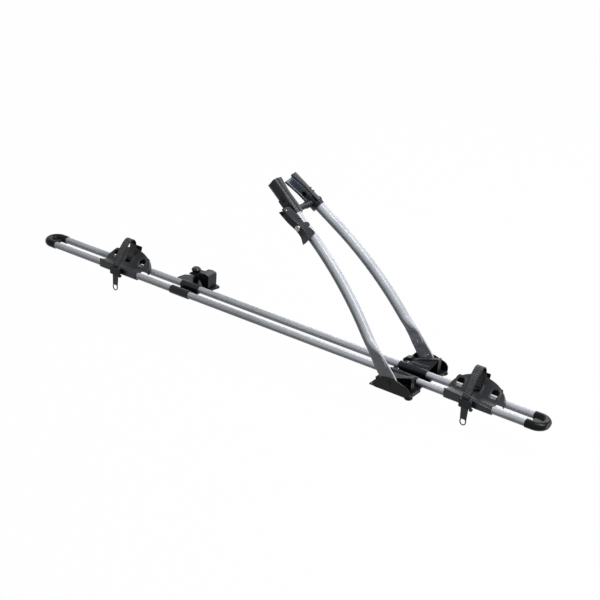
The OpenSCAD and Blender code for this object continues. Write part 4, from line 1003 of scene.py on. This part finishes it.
# Studio
@dataclass
class Studio:
    """Camera at the photograph's place, soft boxes, pale floor and white surround."""

    place_mm: tuple[float, float, float] = (1415.4, -2640.1, 1579.6)
    focal_mm: float = 87.68
    azimuth: float = 33.25
    elevation: float = 25.127
    roll: float = 4.402
    floor_z: float = -62.0
    floor_half: float = 12.0
    floor_grey: float = 0.12
    floor_share: float = 0.95
    floor_glow: float = 1.04
    sky: tuple[float, float, float, float] = (0.06, 0.062, 0.065, 1.0)
    aim: tuple[float, float, float] = (-0.3, 0.0, 0.1)
    lamps: tuple[tuple[str, tuple[float, float, float], tuple[float, float], float], ...] = (
        ("top_box", (1.3, 0.0, 2.4), (0.45, 2.6), 118.0),
        ("left_box", (-1.6, -1.9, 1.1), (1.2, 0.15), 2.0),
        ("rear_box", (-0.5, 2.2, 1.5), (2.5, 0.6), 30.0))

    def camera(self) -> None:
        """Sets the camera from azimuth, elevation and roll about its own line of sight."""
        a, e, r = (math.radians(v) for v in (self.azimuth, self.elevation, self.roll))
        back = np.array([math.sin(a) * math.cos(e), -math.cos(a) * math.cos(e), math.sin(e)])
        right = np.array([math.cos(a), math.sin(a), 0.0])
        up = np.cross(back, right)
        right2 = math.cos(r) * right + math.sin(r) * up
        up2 = -math.sin(r) * right + math.cos(r) * up
        data = bpy.data.cameras.new("camera")
        data.lens, data.sensor_width, data.sensor_fit = self.focal_mm, 36.0, "HORIZONTAL"
        data.clip_start, data.clip_end = 0.05, 60.0
        camera = bpy.data.objects.new("camera", data)
        bpy.context.scene.collection.objects.link(camera)
        matrix = np.eye(4)
        matrix[:3, 0], matrix[:3, 1], matrix[:3, 2] = right2, up2, back
        matrix[:3, 3] = np.array(self.place_mm) * MM
        camera.matrix_world = Matrix(matrix.tolist())
        bpy.context.scene.camera = camera

    def surround(self, tree: bpy.types.NodeTree) -> bpy.types.NodeSocket:
        """Tells rays that see the background from rays that light the object.

        Args:
            tree: the tree that gets the nodes.

        Returns:
            A factor that is 1 for camera, glossy and transmission rays.
        """
        rays = add_node(tree, "ShaderNodeLightPath")
        one = add_node(tree, "ShaderNodeMath", {"operation": "MAXIMUM"}, {
            0: rays.outputs["Is Camera Ray"], 1: rays.outputs["Is Glossy Ray"]})
        return add_node(tree, "ShaderNodeMath", {"operation": "MAXIMUM"}, {
            0: one.outputs[0], 1: rays.outputs["Is Transmission Ray"]}).outputs[0]

    def world(self) -> None:
        """A soft grey sky for light that shows as white behind the object."""
        world = bpy.data.worlds.new("studio_world")
        bpy.context.scene.world = world
        world.use_nodes = True
        tree = world.node_tree
        tree.nodes.clear()
        seen = self.surround(tree)
        colour = add_node(tree, "ShaderNodeMix", {"data_type": "RGBA"}, {
            0: seen, 6: self.sky, 7: (1.0, 1.0, 1.0, 1.0)})
        shade = add_node(tree, "ShaderNodeBackground", inputs={"Color": colour.outputs[2]})
        add_node(tree, "ShaderNodeOutputWorld", inputs={"Surface": shade.outputs[0]})

    def floor(self) -> None:
        """A wide floor that shows as white and keeps a share of the object's shadow."""
        mesh = bpy.data.meshes.new("floor")
        z, s = self.floor_z * MM, self.floor_half
        mesh.from_pydata([(-s, -s, z), (s, -s, z), (s, s, z), (-s, s, z)], [], [(0, 1, 2, 3)])
        floor = bpy.data.objects.new("floor", mesh)
        bpy.context.scene.collection.objects.link(floor)
        material = bpy.data.materials.new("pale_floor")
        material.use_nodes = True
        tree = material.node_tree
        matt = tree.nodes["Principled BSDF"]
        matt.inputs["Base Color"].default_value = (self.floor_grey,) * 3 + (1.0,)
        matt.inputs["Roughness"].default_value = 0.9
        matt.inputs["Specular IOR Level"].default_value = 0.0
        glow = add_node(tree, "ShaderNodeEmission", inputs={
            "Color": (1, 1, 1, 1), "Strength": self.floor_glow})
        amount = add_node(tree, "ShaderNodeMath", {"operation": "MULTIPLY"}, {
            0: self.surround(tree), 1: self.floor_share})
        mix = add_node(tree, "ShaderNodeMixShader", inputs={
            0: amount.outputs[0], 1: matt.outputs[0], 2: glow.outputs[0]})
        tree.links.new(mix.outputs[0], tree.nodes["Material Output"].inputs["Surface"])
        mesh.materials.append(material)

    def lamp(self, name: str, place: Sequence[float], size: Sequence[float],
             power: float) -> None:
        """Adds one soft box that faces the aim.

        Args:
            name: the lamp's name.
            place: its middle, in metres.
            size: its two sides, in metres.
            power: its power in watts.
        """
        data = bpy.data.lights.new(name, "AREA")
        data.shape, data.size, data.size_y, data.energy = "RECTANGLE", size[0], size[1], power
        lamp = bpy.data.objects.new(name, data)
        bpy.context.scene.collection.objects.link(lamp)
        z = np.array(place, float) - np.array(self.aim)
        z /= np.linalg.norm(z)
        x = np.cross((0.0, 0.0, 1.0), z)
        x /= np.linalg.norm(x)
        matrix = np.eye(4)
        matrix[:3, 0], matrix[:3, 1], matrix[:3, 2], matrix[:3, 3] = x, np.cross(z, x), z, place
        lamp.matrix_world = Matrix(matrix.tolist())

    def build(self) -> None:
        """Sets up camera, surround, floor and lamps."""
        bpy.context.scene.view_settings.view_transform = "Standard"
        self.camera()
        self.world()
        self.floor()
        for name, place, size, power in self.lamps:
            self.lamp(name, place, size, power)


# Dressing of the solids
@dataclass
class SolidDresser:
    """Gives each solid its finish; a few have one of their own instead of their slot's."""

    # The trays take the lit copy of the nylon: painted light on the upward wing
    own: dict[str, str] = field(default_factory=lambda: {
        "cross_bolt": "black_steel", "tray_front": "lit_tray_nylon", "tray_rear": "lit_tray_nylon"})

    def dress(self, shop: Workshop) -> None:
        """Puts the finish of its slot on every solid.

        Args:
            shop: makes and keeps the pieces.
        """
        for part in frame["record"]["subparts"]:
            obj = frame["nodes"][part["node"]]
            material = shop.finish(self.own.get(part["node"], part["material_slot"]))
            if not obj.data.materials:
                obj.data.materials.append(material)
            for i in range(len(obj.material_slots)):
                obj.material_slots[i].material = material
            log.info("solid %s gets %s", part["node"], material.name)


def main() -> None:
    """Builds the studio and dresses the carrier, one sub-assembly after the other."""
    logging.basicConfig(level=logging.INFO, format="%(message)s")
    shop = Workshop()
    path = ArmPath()
    Studio().build()
    SolidDresser().dress(shop)
    Arms(path).build(shop)
    for tray_x, body, node in TRAYS:
        WheelStrap(tray_x, body, node).build(shop)
    for tray_x, body, _ in TRAYS:
        WingTrim(tray_x, body).build(shop)
    CarrierTrim().build(shop)
    Head(path).build(shop)


if __name__ == "__main__":
    main()
